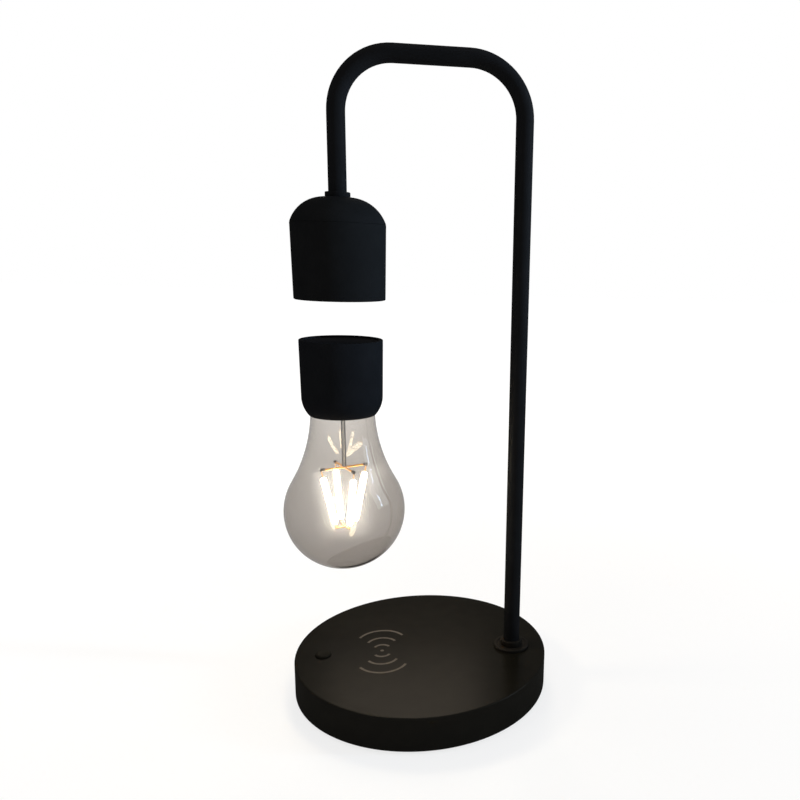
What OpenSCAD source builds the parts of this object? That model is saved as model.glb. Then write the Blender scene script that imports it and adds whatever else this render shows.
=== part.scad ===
// Levitating table lamp. A bent tube on a round charging base carries a magnet head,
// and a bulb with a magnet cap floats under the head.
// Millimetres, +Z up. The origin is the middle of the base where it stands, +X points at the post.

/* [Base] */
// Outside diameter of the base
base_d = 132; // [128:1:160]
// Height of the base cover
base_h = 17; // [16.5:0.5:24]
// Side wall of the base cover
base_wall = 2.5; // [1.8:0.1:3]
// Top wall of the base cover
base_top_t = 2.5; // [1.8:0.1:3]
// Rounding of the cover's upper edge
base_edge_r = 0.8; // [0.3:0.1:1.5]
// Thickness of the bottom plate
plate_t = 2; // [1.8:0.1:2.4]
// Thickness of the anti-slip pad
pad_t = 1.5; // [1:0.1:3]
// Margin between the pad and the edge of the base
pad_inset = 5; // [3:0.5:12]
// Thickness of the steel ballast plate
ballast_t = 4; // [2:0.1:4.4]
// Diameter of the steel ballast plate
ballast_d = 72; // [60:1:74]
// Place of the ballast plate's centre along X
ballast_x = -12; // [-14:0.5:-8]
// Diameter of the bosses for the bottom screws
boss_d = 7; // [5.5:0.1:8]
// Diameter of the bottom screws
bottom_screw_d = 3; // [2.5:0.1:3.5]

/* [Charging pad and button] */
// Turn of the charging mark and the button about the base's axis, against the arm
cover_turn = 6.4; // [0:0.1:15]
// Distance of the charging mark from the button
mark_gap = 30.3; // [30:0.1:36]
// Diameter of the mark's dot
mark_dot_d = 1.9; // [1:0.1:3]
// Radii of the mark's three pairs of arcs
mark_radii = [4.2, 8.1, 13]; // [3:0.1:16]
// Distances of the arcs' centres from the dot
mark_offsets = [2.1, 5.9, 9.5]; // [1:0.1:12]
// Half of the angle that each arc covers
mark_half_angle = 62; // [40:1:75]
// Width of the mark's lines
mark_line = 1.3; // [0.6:0.1:1.8]
// Depth of the mark's inlay
mark_depth = 0.3; // [0.2:0.05:0.6]
// Outside diameter of the charging coil
coil_d = 45; // [36:1:48]
// Inside diameter of the charging coil
coil_bore = 20; // [12:1:26]
// Thickness of the charging coil
coil_t = 1.2; // [0.8:0.1:1.4]
// Diameter of the ferrite sheet under the coil
ferrite_d = 41; // [32:1:42]
// Thickness of the ferrite sheet
ferrite_t = 0.8; // [0.5:0.1:1]
// Diameter of the push button
button_d = 8; // [6:0.1:10]
// Height of the button above the cover
button_raise = 1.3; // [0.8:0.1:2]
// Distance of the button from the edge of the base
button_inset = 14.4; // [13:0.1:19]
// Travel of the button
button_travel = 0.6; // [0.3:0.05:0.7]

/* [Power socket] */
// Width of the socket's housing
jack_w = 9; // [8.8:0.1:11]
// Length of the socket's housing
jack_l = 13; // [11:0.1:15]
// Height of the socket's housing
jack_h = 10.5; // [10:0.1:11]
// Diameter of the socket's hole
jack_bore = 6.2; // [5.6:0.1:6.6]
// Depth of the socket's hole
jack_depth = 10; // [8:0.1:10.5]
// Diameter of the socket's centre pin
jack_pin_d = 2; // [1.6:0.1:2.5]
// Diameter of the pin's shank inside the housing
jack_shank_d = 2.6; // [2.6:0.1:3.2]
// Distance of the pin's tip behind the socket's mouth
jack_pin_recess = 4.3; // [4.2:0.1:5]

/* [Arm] */
// Distance of the post from the edge of the base
post_inset = 18; // [16:0.5:20]
// Distance of the bulb's axis from the base's axis, away from the post
bulb_x = 39; // [34:0.5:44]
// Height of the arm's centreline at the top
arm_h = 314; // [300:1:400]
// Outside diameter of the tube
tube_d = 8.5; // [8:0.1:10]
// Wall of the tube
tube_wall = 0.9; // [0.7:0.1:1.2]
// Bend radius of the tube's centreline
bend_r = 26; // [18:1:34]
// Height of the arm's centreline over the top of the head
arm_drop = 63.8; // [50:0.2:80]
// Diameter of the flange under the post
flange_d = 19; // [16:0.5:24]
// Thickness of the flange
flange_t = 1.5; // [1:0.1:2.5]
// Diameter of the collars on the tube
collar_d = 11.7; // [11:0.1:14]
// Thickness of the collar over the flange
post_collar_t = 2.8; // [1.5:0.1:4]
// Thickness of the collar on the head
head_collar_t = 2.3; // [1.5:0.1:4]
// Width across flats of the tube nuts
nut_af = 13; // [12.5:0.1:14]
// Thickness of the tube nuts
nut_t = 3; // [2:0.1:3.4]
// Diameter of the lamp cable
cable_d = 3.2; // [2.4:0.1:3.6]
// Bend radius of the cable under the post
cable_bend = 5.5; // [4.5:0.1:6]

/* [Head] */
// Diameter of the head at its seam
head_d_top = 44.3; // [42:0.1:50]
// Diameter of the head at its lower edge
head_d_low = 43; // [41:0.1:48]
// Wall of the head
head_wall = 2; // [1.5:0.1:2.4]
// Height of the sleeve under the seam
sleeve_h = 35.3; // [30:0.1:45]
// Height of the dome over the seam
dome_h = 11.9; // [11:0.1:13]
// Radius of the dome's shoulder
dome_r = 17; // [15:0.5:19]
// Length of the dome's lip inside the sleeve
lip_h = 3.5; // [2:0.1:5]
// Thickness of the dome's lip
lip_t = 1.5; // [1:0.1:2]
// Thickness of the head's bottom cover
head_cover_t = 1.6; // [1.2:0.1:2.5]
// Thickness of the power coil over the bottom cover
power_coil_t = 1.5; // [1:0.1:2.5]
// Diameter of the lifting magnet's iron core
core_d = 10; // [7:0.1:12]
// Diameter of the lifting magnet's bobbin
bobbin_d = 31; // [24:0.5:31]
// Thickness of the bobbin's flanges
bobbin_flange_t = 1.2; // [0.8:0.1:2]
// Diameter of the holding magnet over the bobbin
bias_d = 18; // [12:0.5:22]
// Thickness of the holding magnet
bias_t = 5; // [3:0.1:7]

/* [Floating cap] */
// Gap in which the bulb floats
float_gap = 19.2; // [15:0.2:22]
// Diameter of the cap at its top
cap_d_top = 40; // [39:0.1:44]
// Diameter of the cap at the start of its lower rounding
cap_d_low = 39.2; // [38.8:0.1:43]
// Height of the cap
cap_h = 37; // [35:0.1:42]
// Radius of the cap's lower rounding
cap_round = 14; // [13:0.1:18]
// Height of the cap's lower rounding
cap_round_h = 9.2; // [8:0.1:9.4]
// Wall of the cap
cap_wall = 1.8; // [1.4:0.1:2]
// Depth of the lid inside the cap's rim
lid_recess = 0.8; // [0.3:0.1:1.5]
// Thickness of the lid
lid_t = 1.4; // [1:0.1:2]
// Thickness of the pickup coil under the lid
pickup_t = 1.4; // [0.8:0.1:2]
// Diameter of the floating magnet
magnet_d = 24; // [18:0.5:26]
// Thickness of the floating magnet
magnet_t = 8; // [5:0.1:9]

/* [Bulb] */
// Diameter of the bulb's glass
glass_d = 60; // [56:0.5:64]
// Outside diameter of the bulb's neck
neck_d = 31; // [29:0.1:31.4]
// Radius of the hollow curve between the neck and the globe
neck_curve_r = 76; // [60:1:90]
// Distance of the globe's centre under the cap
bulb_drop = 49.8; // [48:0.1:56]
// Wall of the glass
glass_t = 1; // [0.7:0.1:1.4]
// Diameter of the glass rod
stem_d = 1.3; // [1:0.1:2]
// Height of the upper wire cross over the globe's centre
spider_up = 22.3; // [18:0.1:25]
// Reach of the upper wire cross
spider_r = 12; // [9:0.1:13]
// Depth of the lower wire cross under the globe's centre
spider_down = 9.1; // [5:0.1:13]
// Reach of the lower wire cross
lower_r = 5; // [4:0.1:7]
// Turn of the filaments about the bulb's axis
filament_turn = 30; // [0:1:89]
// Diameter of a filament
filament_d = 2.6; // [1.6:0.1:3]
// Bare pin above a filament
pin_upper_l = 4; // [2:0.1:6]
// Bare pin under a filament
pin_lower_l = 2; // [1.5:0.1:4]

/* [Clearances] */
// Radial clearance of fixed pieces on the tube
tube_clear = 0.05; // [0.02:0.01:0.2]
// Clearance of a screw in its hole
screw_clear = 0.05; // [0.02:0.01:0.2]
// Clearance of the bottom plate in the cover
plate_clear = 0.15; // [0.05:0.01:0.4]
// Clearance of the button in the cover
button_clear = 0.2; // [0.1:0.01:0.3]
// Clearance of the plunger in the switch
plunger_clear = 0.06; // [0.02:0.01:0.1]
// Clearance of the socket's nose in the wall
nose_clear = 0.15; // [0.05:0.01:0.3]
// Clearance of pieces that are glued into a shell
glue_clear = 0.1; // [0.02:0.01:0.2]
// Radial clearance round the floating magnet
magnet_clear = 0.06; // [0.02:0.01:0.1]
// Axial clearance over and under the floating magnet
magnet_play = 0.1; // [0.05:0.01:0.2]
// Clearance of the cap round the glass
mouth_clear = 0.15; // [0.05:0.01:0.2]
// Clearance of inlays, leads and wires in their holes
wire_clear = 0.02; // [0.01:0.01:0.05]

/* [Hidden] */
$fn = 96;

// How far a cutting shape runs past the face that it cuts
over = 1;
quarter = 90;
hex_sides = 6;

// Levels in the base, from the table up
base_r = base_d / 2;
base_in_r = base_r - base_wall;
plate_top = pad_t + plate_t;
base_top = pad_t + base_h;
base_under = base_top - base_top_t;

// Bottom screws, heads sunk in the plate
boss_count = 4;
boss_turn = 45;
boss_inset = 5.5;
boss_pcr = base_in_r - boss_inset;
bottom_head_d = 5.4;
bottom_head_h = 1.1;
bottom_screw_l = 9;
slot_w = 0.7;

// Circuit board of the base on its standoffs
board_t = 1.6;
board_w = 40;
board_edge_gap = 2.3;
board_left = board_edge_gap - sqrt(base_in_r * base_in_r - board_w * board_w / 4);
board_lift = 1.5;
board_low = plate_top + ballast_t + board_lift;
board_top = board_low + board_t;
header_l = 6;
header_w = 8;
header_h = 3.6;
header_gap = 1;
header_x = ballast_x + ballast_d / 2 + header_gap;
board_right = header_x + header_l;
standoff_d = 6;
standoff_clear = 0.3;
// Standoffs outside the ballast at the button's end, and through the ballast at the other end
near_end = 8;
near_side = 16;
far_end = 17;
far_side = 15;
near_x = board_left + near_end;
far_x = board_right - far_end;
standoffs = [[near_x, -near_side], [near_x, near_side], [far_x, -far_side], [far_x, far_side]];
board_screw_d = 2.3;
board_head_d = 4.4;
board_head_h = 1.3;
board_screw_l = 6;

// Parts on the board: distance from its end at the button, y, length, width and height of each
chips = [[28, -4, 8, 8, 1.2], [44, 6, 6, 5, 1.4], [44, -8, 5, 5, 1.2], [54, 5, 4, 4, 1.2]];
inductors = [[66, 6, 7, 7, 3], [66, -6, 7, 7, 3]];
// Round capacitors: distance from the same end, y, diameter and height
capacitors = [[78, 8, 5, 3.6], [78, 0, 5, 3.6], [78, -8, 5, 3.6]];

// Socket in the rear wall
jack_axis_h = 6.5;
jack_z = plate_top + jack_axis_h;
jack_seat_gap = 0.1;
jack_front = sqrt(base_in_r * base_in_r - jack_w * jack_w / 4) - jack_seat_gap;
jack_back = jack_front - jack_l;
nose_over = 0.2;
nose_d = jack_w + nose_over;
nose_recess = 0.6;
nose_end = base_r - nose_recess;
jack_floor = nose_end - jack_depth;
pin_tail = 1.5;
power_lead_gap = 2.5;

// Button, its switch and the spot of both
button_x = base_r - button_inset;
button_pos = [-button_x * cos(cover_turn), -button_x * sin(cover_turn)];
button_edge_r = 0.5;
button_lip_w = 1;
button_lip_t = 1;
button_lip_gap = 0.1;
button_stem_d = 3;
button_stem_l = 0.6;
lip_top = base_under - button_lip_gap;
lip_low = lip_top - button_lip_t;
stem_low = lip_low - button_stem_l;
plunger_d = 2.4;
plunger_out = 0.9;
plunger_in = 1.2;
switch_w = 6;
switch_top = stem_low - plunger_out;
switch_room = 0.2;

// Charging mark and coil
mark_x = button_x - mark_gap;
mark_pos = [-mark_x * cos(cover_turn), -mark_x * sin(cover_turn)];
coil_low = base_under - coil_t;
ferrite_low = coil_low - ferrite_t;
coil_lead_d = 1;
coil_lead_r = (coil_d + ferrite_d) / 4;
coil_lead_angle = 8;

// Stack on the post, and the tube's two ends
post_x = base_r - post_inset;
washer_d = 15;
washer_t = 0.8;
nut_r = nut_af / 2 / cos(180 / hex_sides);
tube_stick = 1;
post_nut_top = base_under - washer_t;
tube_low = post_nut_top - nut_t - tube_stick;
dome_top = arm_h - arm_drop;
dome_under = dome_top - head_wall;
tube_in_head = dome_under - nut_t - tube_stick;
collar_edge_r = 0.4;
flange_edge_r = 0.5;
cable_z = board_low - header_h / 2;

// Head, from the top down
head_x = -bulb_x;
seam_z = dome_top - dome_h;
head_low = seam_z - sleeve_h;
head_r_top = head_d_top / 2;
head_r_low = head_d_low / 2;
dome_flat_r = head_r_top - sqrt(dome_r * dome_r - (dome_r - dome_h) * (dome_r - dome_h));
sleeve_in_top = head_r_top - head_wall;
sleeve_in_low = head_r_low - head_wall;
lip_r = sleeve_in_top - (head_r_top - head_r_low) * lip_h / sleeve_h - glue_clear;
lip_rise = 2;
nut_seat_gap = 0.7;
ledge_t = 1.2;
ledge_w = 1.1;

// Lifting magnet between the head's two boards
cover_top = head_low + head_cover_t;
stack_r = sleeve_in_low - ledge_w - glue_clear;
power_coil_bore = 16;
hall_low = cover_top + power_coil_t;
hall_t = 1.2;
hall_top = hall_low + hall_t;
hall_size = [4, 3];
head_board_drop = 1;
head_board_t = 1.6;
head_board_top = seam_z - head_board_drop;
head_board_low = head_board_top - head_board_t;
head_board_gap = 1;
head_board_r = lip_r - lip_t - head_board_gap;
bias_low = head_board_low - bias_t;
bobbin_tube_t = 1.3;
head_header_size = [7, 5, 3.5];
head_header_top = head_board_top + head_header_size[2];
link_count = 4;
link_d = 0.9;
link_gap = 0.3;
link_r = bobbin_d / 2 + link_d / 2 + link_gap;

// Floating cap, from its rim down
cap_top = head_low - float_gap;
cap_low = cap_top - cap_h;
cap_r_top = cap_d_top / 2;
cap_r_low = cap_d_low / 2;
cap_round_z = cap_low + cap_round_h;
cap_in_r = cap_r_low - cap_wall;
rim_edge_r = 0.3;
lid_low = cap_top - lid_recess - lid_t;
pickup_low = lid_low - pickup_t;
pickup_bore = 16;
pocket_low = pickup_low - magnet_t - 2 * magnet_play;
pocket_floor_t = 1.5;
carrier_wall = 2.1;
carrier_r = cap_in_r - glue_clear;
shoulder_h = 6.2;
shoulder_z = cap_low + shoulder_h;
holder_h = 10;
holder_lip_t = 1;
holder_lip_w = 2;
holder_top = shoulder_z + holder_h;
receiver_t = 1.6;
receiver_top = holder_top + receiver_t;
pickup_lead_d = 1;
pickup_lead_r = (magnet_d / 2 + carrier_r) / 2;
// Parts on the cap's board: x, y, length, width and height
receiver_list = [[-6, 0, 5, 5, 1.2], [5, 4, 4, 3, 1.6], [5, -4, 4, 3, 1.6]];

// Glass, with its globe and its neck joined by one hollow curve
glass_r = glass_d / 2;
neck_r = neck_d / 2;
globe_z = cap_low - bulb_drop;
neck_cos = (neck_r + neck_curve_r) / (glass_r + neck_curve_r);
neck_angle = acos(neck_cos);
neck_z = globe_z + (glass_r + neck_curve_r) * sin(neck_angle);
neck_top = holder_top - holder_lip_t;
cap_mouth_r = neck_r + neck_curve_r + mouth_clear
    - sqrt(neck_curve_r * neck_curve_r - (neck_z - cap_low) * (neck_z - cap_low));

// Stem, wire crosses and filaments
stem_r = stem_d / 2;
flare_h = 10;
flare_t = 0.9;
pinch_r = 2.4;
pinch_h = 3;
lead_d = 0.4;
lead_x = stem_r + lead_d / 2 + wire_clear;
spider_z = globe_z + spider_up;
lower_z = globe_z - spider_down;
spider_wire_d = 0.9;
hub_d = 3;
hub_t = 0.9;
lower_hub_d = 2;
filament_count = 4;
filament_tilt = atan2(spider_r - lower_r, spider_z - lower_z);
filament_run = (spider_z - lower_z) / cos(filament_tilt);
pin_d = 0.6;
tip_d = 1.7;
tip_l = 2.4;
tip_past = 0.5;

// Disc with a rounded upper edge, standing on z = 0
module rounded_disc(r, h, edge) {
    rotate_extrude() {
        square([r - edge, h]);
        square([r, h - edge]);
        translate([r - edge, h - edge]) circle(edge);
    }
}

// Flat ring standing on z = 0
module ring(outer_r, inner_r, h) {
    difference() {
        cylinder(r = outer_r, h = h);
        translate([0, 0, -over]) cylinder(r = inner_r, h = h + 2 * over);
    }
}

// Hexagon nut with a plain bore, standing on z = 0
module hex_nut(h, bore_r) {
    difference() {
        cylinder(r = nut_r, h = h, $fn = hex_sides);
        translate([0, 0, -over]) cylinder(r = bore_r, h = h + 2 * over);
    }
}

// Slotted screw, head upwards, with the underside of its head at z = 0
module screw(shank_d, shank_l, head_d, head_h) {
    difference() {
        union() {
            cylinder(d = head_d, h = head_h);
            translate([0, 0, -shank_l]) cylinder(d = shank_d, h = shank_l + head_h / 2);
        }
        translate([-head_d, -slot_w / 2, head_h / 2]) cube([2 * head_d, slot_w, head_h]);
    }
}

// Block standing on a board, centred on x and y
module board_block(part, level) {
    translate([part[0] - part[2] / 2, part[1] - part[3] / 2, level]) cube([part[2], part[3], part[4]]);
}

// Copies its child onto the places of the bottom screws
module at_bosses() {
    for (i = [0 : boss_count - 1])
        rotate([0, 0, boss_turn + i * 360 / boss_count]) translate([boss_pcr, 0, 0]) children();
}

// Copies its child onto the standoffs of the base's board
module at_standoffs() {
    for (spot = standoffs) translate([spot[0], spot[1], 0]) children();
}

// The mark's dot and arcs as a flat block from z = 0 up, grown by a gap
module mark_block(h, gap) {
    cylinder(d = mark_dot_d + 2 * gap, h = h);
    for (side = [0, 180], i = [0 : len(mark_radii) - 1])
        rotate([0, 0, side + quarter]) translate([mark_offsets[i], 0, 0]) rotate([0, 0, -mark_half_angle])
            rotate_extrude(angle = 2 * mark_half_angle)
                translate([mark_radii[i] - mark_line / 2 - gap, 0]) square([mark_line + 2 * gap, h]);
}

// Rod along the arm: up the post, over the two bends and down into the head
module along_arm(r, post_low, head_end) {
    bend_z = arm_h - bend_r;
    translate([post_x, 0, post_low]) cylinder(r = r, h = bend_z - post_low);
    translate([post_x - bend_r, 0, bend_z]) rotate([quarter, 0, 0])
        rotate_extrude(angle = quarter) translate([bend_r, 0]) circle(r);
    translate([head_x + bend_r, 0, arm_h]) rotate([0, quarter, 0])
        cylinder(r = r, h = post_x - head_x - 2 * bend_r);
    translate([head_x + bend_r, 0, bend_z]) rotate([quarter, 0, 0]) rotate([0, 0, quarter])
        rotate_extrude(angle = quarter) translate([bend_r, 0]) circle(r);
    translate([head_x, 0, head_end]) cylinder(r = r, h = bend_z - head_end);
}

// Half section of the dome, drawn in by an inset
module dome_section(inset) {
    intersection() {
        union() {
            translate([0, seam_z - over]) square([dome_flat_r, dome_h + over - inset]);
            translate([dome_flat_r, dome_top - dome_r]) circle(dome_r - inset);
        }
        translate([0, seam_z]) square([head_r_top, dome_h]);
    }
}

// Half section of the glass, drawn in by an inset and run past the neck's end
module glass_section(inset, past) {
    reach = glass_r - inset;
    touch_z = globe_z + reach * sin(neck_angle);
    intersection() {
        translate([0, globe_z]) circle(reach);
        translate([0, globe_z - glass_r]) square([glass_r, glass_d]);
    }
    difference() {
        translate([0, touch_z - over]) square([reach * neck_cos, neck_z - touch_z + over]);
        translate([neck_r + neck_curve_r, neck_z]) circle(neck_curve_r + inset);
    }
    translate([0, neck_z - over]) square([neck_r - inset, neck_top + past - neck_z + over]);
}

// Places its child on the bulb's axis
module on_bulb_axis() {
    translate([head_x, 0, 0]) children();
}

// Copies its child round the bulb's axis, once for each filament
module at_filaments() {
    on_bulb_axis() for (i = [0 : filament_count - 1])
        rotate([0, 0, filament_turn + i * 360 / filament_count]) children();
}

// Stretch of rod along each filament's line, measured from its lower end
module filament_rod(d, start, end) {
    at_filaments() translate([lower_r, 0, lower_z]) rotate([0, filament_tilt, 0])
        translate([0, 0, start]) cylinder(d = d, h = end - start);
}

// Wire arms of a cross with a reach, at a level
module spider_arms(d, level, reach) {
    at_filaments() translate([0, 0, level]) rotate([0, quarter, 0]) cylinder(d = d, h = reach);
}

module base_cover() {
    color("#2b2924") difference() {
        union() {
            difference() {
                translate([0, 0, pad_t]) rounded_disc(base_r, base_h, base_edge_r);
                translate([0, 0, pad_t - over]) cylinder(r = base_in_r, h = base_h - base_top_t + over);
            }
            at_bosses() translate([0, 0, plate_top]) cylinder(d = boss_d, h = base_h - plate_t - base_top_t);
        }
        at_bosses() translate([0, 0, plate_top - over])
            cylinder(d = bottom_screw_d + 2 * screw_clear, h = bottom_screw_l + over);
        translate([post_x, 0, base_under - over])
            cylinder(d = tube_d + 2 * tube_clear, h = base_top_t + 2 * over);
        translate([button_pos[0], button_pos[1], base_under - over])
            cylinder(d = button_d + 2 * button_clear, h = base_top_t + 2 * over);
        translate([mark_pos[0], mark_pos[1], base_top - mark_depth]) rotate([0, 0, cover_turn])
            mark_block(mark_depth + over, wire_clear);
        translate([0, jack_front, jack_z]) rotate([-quarter, 0, 0])
            cylinder(d = nose_d + 2 * nose_clear, h = base_wall + 2 * over);
    }
}

module charging_mark() {
    color("#4e463c") translate([mark_pos[0], mark_pos[1], base_top - mark_depth])
        rotate([0, 0, cover_turn]) mark_block(mark_depth, 0);
}

module bottom_plate() {
    color("#262626") difference() {
        union() {
            translate([0, 0, pad_t]) cylinder(r = base_in_r - plate_clear, h = plate_t);
            at_standoffs() translate([0, 0, plate_top]) cylinder(d = standoff_d, h = board_low - plate_top);
        }
        at_bosses() translate([0, 0, pad_t - over]) {
            cylinder(d = bottom_screw_d + 2 * screw_clear, h = plate_t + 2 * over);
            cylinder(d = bottom_head_d + 2 * screw_clear, h = bottom_head_h + over);
        }
        at_standoffs() translate([0, 0, board_top - board_screw_l])
            cylinder(d = board_screw_d + 2 * screw_clear, h = board_screw_l);
    }
}

module bottom_screws() {
    color("silver") at_bosses() translate([0, 0, pad_t + bottom_head_h]) mirror([0, 0, 1])
        screw(bottom_screw_d, bottom_screw_l - bottom_head_h, bottom_head_d, bottom_head_h);
}

module anti_slip_pad() {
    color("#1c1c1c") cylinder(r = base_r - pad_inset, h = pad_t);
}

module ballast_plate() {
    color("slategray") difference() {
        translate([ballast_x, 0, plate_top]) cylinder(d = ballast_d, h = ballast_t);
        at_standoffs() translate([0, 0, plate_top - over])
            cylinder(d = standoff_d + 2 * standoff_clear, h = ballast_t + 2 * over);
    }
}

module main_board() {
    color("darkgreen") difference() {
        translate([board_left, -board_w / 2, board_low]) cube([board_right - board_left, board_w, board_t]);
        at_standoffs() translate([0, 0, board_low - over])
            cylinder(d = board_screw_d + 2 * screw_clear, h = board_t + 2 * over);
    }
}

module board_screws() {
    color("silver") at_standoffs() translate([0, 0, board_top])
        screw(board_screw_d, board_screw_l, board_head_d, board_head_h);
}

module board_chips() {
    color("#202020") translate([board_left, 0, 0]) for (chip = chips) board_block(chip, board_top);
}

module board_inductors() {
    color("dimgray") translate([board_left, 0, 0]) for (block = inductors) board_block(block, board_top);
}

module board_capacitors() {
    color("tan") for (can = capacitors) translate([board_left + can[0], can[1], board_top])
        rounded_disc(can[2] / 2, can[3], collar_edge_r);
}

module cable_header() {
    color("ivory") translate([header_x, -header_w / 2, board_low - header_h])
        cube([header_l, header_w, header_h]);
}

module power_jack() {
    color("#151515") difference() {
        union() {
            translate([-jack_w / 2, jack_back, plate_top]) cube([jack_w, jack_l, jack_h]);
            translate([0, jack_front - over, jack_z]) rotate([-quarter, 0, 0])
                cylinder(d = nose_d, h = nose_end - jack_front + over);
        }
        translate([0, jack_floor, jack_z]) rotate([-quarter, 0, 0])
            cylinder(d = jack_bore, h = jack_depth + over);
        translate([0, jack_back - over, jack_z]) rotate([-quarter, 0, 0])
            cylinder(d = jack_shank_d + 2 * wire_clear, h = jack_l);
    }
}

module jack_pin() {
    color("silver") translate([0, jack_floor, jack_z]) rotate([-quarter, 0, 0]) {
        cylinder(d = jack_pin_d, h = jack_depth - jack_pin_recess);
        translate([0, 0, jack_back - pin_tail - jack_floor])
            cylinder(d = jack_shank_d, h = jack_floor - jack_back + pin_tail);
    }
}

module power_leads() {
    color("firebrick") for (side = [-1, 1])
        translate([side * power_lead_gap, board_w / 2, board_low + board_t / 2]) rotate([-quarter, 0, 0])
            cylinder(d = board_t, h = jack_back - board_w / 2);
}

module switch_body() {
    color("#303030") translate([button_pos[0], button_pos[1], 0]) difference() {
        translate([-switch_w / 2, -switch_w / 2, board_top])
            cube([switch_w, switch_w, switch_top - board_top]);
        translate([0, 0, switch_top - plunger_in - button_travel - switch_room])
            cylinder(d = plunger_d + 2 * plunger_clear, h = plunger_in + button_travel + switch_room + over);
    }
}

module charging_coil() {
    color("peru") translate([mark_pos[0], mark_pos[1], coil_low]) ring(coil_d / 2, coil_bore / 2, coil_t);
}

module coil_ferrite() {
    color("#3a3a3c") translate([mark_pos[0], mark_pos[1], ferrite_low])
        cylinder(d = ferrite_d, h = ferrite_t);
}

module coil_leads() {
    color("peru") translate([mark_pos[0], mark_pos[1], board_top]) for (side = [-1, 1])
        rotate([0, 0, side * coil_lead_angle]) translate([coil_lead_r, 0, 0])
            cylinder(d = coil_lead_d, h = coil_low - board_top);
}

module lamp_cable() {
    color("#181818") {
        along_arm(cable_d / 2, cable_z + cable_bend, head_header_top);
        translate([post_x - cable_bend, 0, cable_z + cable_bend])
            rotate([quarter, 0, 0]) rotate([0, 0, -quarter])
                rotate_extrude(angle = quarter) translate([cable_bend, 0]) circle(cable_d / 2);
        translate([board_right, 0, cable_z]) rotate([0, quarter, 0])
            cylinder(d = cable_d, h = post_x - cable_bend - board_right);
    }
}

module arm_tube() {
    color("#15171b") difference() {
        along_arm(tube_d / 2, tube_low, tube_in_head);
        along_arm(tube_d / 2 - tube_wall, tube_low - over, tube_in_head - over);
    }
}

module base_flange() {
    color("#1b1b1a") translate([post_x, 0, base_top]) difference() {
        rounded_disc(flange_d / 2, flange_t, flange_edge_r);
        translate([0, 0, -over]) cylinder(d = tube_d + 2 * tube_clear, h = flange_t + 2 * over);
    }
}

module post_collar() {
    color("#1b1b1a") translate([post_x, 0, base_top + flange_t]) difference() {
        rounded_disc(collar_d / 2, post_collar_t, collar_edge_r);
        translate([0, 0, -over]) cylinder(d = tube_d + 2 * tube_clear, h = post_collar_t + 2 * over);
    }
}

module post_washer() {
    color("silver") translate([post_x, 0, post_nut_top])
        ring(washer_d / 2, tube_d / 2 + tube_clear, washer_t);
}

module post_nut() {
    color("silver") translate([post_x, 0, post_nut_top - nut_t]) hex_nut(nut_t, tube_d / 2 + tube_clear);
}

module head_collar() {
    color("#1b1b1a") on_bulb_axis() translate([0, 0, dome_top]) difference() {
        rounded_disc(collar_d / 2, head_collar_t, collar_edge_r);
        translate([0, 0, -over]) cylinder(d = tube_d + 2 * tube_clear, h = head_collar_t + 2 * over);
    }
}

module head_nut() {
    color("silver") on_bulb_axis() translate([0, 0, dome_under - nut_t])
        hex_nut(nut_t, tube_d / 2 + tube_clear);
}

module head_dome() {
    color("#14161a") on_bulb_axis() difference() {
        union() {
            rotate_extrude() difference() {
                dome_section(0);
                dome_section(head_wall);
            }
            translate([0, 0, seam_z - lip_h]) ring(lip_r, lip_r - lip_t, lip_h + lip_rise);
        }
        translate([0, 0, dome_under - over]) cylinder(r = nut_r + nut_seat_gap, h = over);
        translate([0, 0, dome_under - over]) cylinder(d = tube_d + 2 * tube_clear, h = head_wall + 2 * over);
    }
}

module head_sleeve() {
    color("#14161a") on_bulb_axis() {
        difference() {
            translate([0, 0, head_low]) cylinder(r1 = head_r_low, r2 = head_r_top, h = sleeve_h);
            translate([0, 0, head_low]) cylinder(r1 = sleeve_in_low, r2 = sleeve_in_top, h = sleeve_h);
        }
        translate([0, 0, cover_top]) ring(sleeve_in_low + head_wall / 2, sleeve_in_low - ledge_w, ledge_t);
    }
}

module head_bottom_cover() {
    color("#14161a") on_bulb_axis() translate([0, 0, head_low])
        cylinder(r = sleeve_in_low - glue_clear, h = head_cover_t);
}

module power_coil() {
    color("peru") on_bulb_axis() translate([0, 0, cover_top])
        ring(stack_r, power_coil_bore / 2, power_coil_t);
}

module hall_board() {
    color("darkgreen") on_bulb_axis() translate([0, 0, hall_low]) cylinder(r = stack_r, h = hall_t);
}

module hall_sensor() {
    color("#202020") on_bulb_axis() translate([-hall_size[0] / 2, -hall_size[1] / 2, cover_top])
        cube([hall_size[0], hall_size[1], power_coil_t]);
}

module lift_bobbin() {
    color("ivory") on_bulb_axis() difference() {
        union() {
            translate([0, 0, hall_top]) cylinder(d = bobbin_d, h = bobbin_flange_t);
            translate([0, 0, hall_top])
                cylinder(r = core_d / 2 + wire_clear + bobbin_tube_t, h = bias_low - hall_top);
            translate([0, 0, bias_low - bobbin_flange_t]) cylinder(d = bobbin_d, h = bobbin_flange_t);
        }
        translate([0, 0, hall_top - over])
            cylinder(r = core_d / 2 + wire_clear, h = bias_low - hall_top + 2 * over);
    }
}

module lift_core() {
    color("silver") on_bulb_axis() translate([0, 0, hall_top]) cylinder(d = core_d, h = bias_low - hall_top);
}

module lift_coil() {
    color("peru") on_bulb_axis() translate([0, 0, hall_top + bobbin_flange_t])
        ring(bobbin_d / 2 - link_gap, core_d / 2 + bobbin_tube_t + 2 * wire_clear,
            bias_low - hall_top - 2 * bobbin_flange_t);
}

module bias_magnet() {
    color("silver") on_bulb_axis() translate([0, 0, bias_low]) cylinder(d = bias_d, h = bias_t);
}

module head_board() {
    color("darkgreen") on_bulb_axis() translate([0, 0, head_board_low])
        cylinder(r = head_board_r, h = head_board_t);
}

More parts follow.
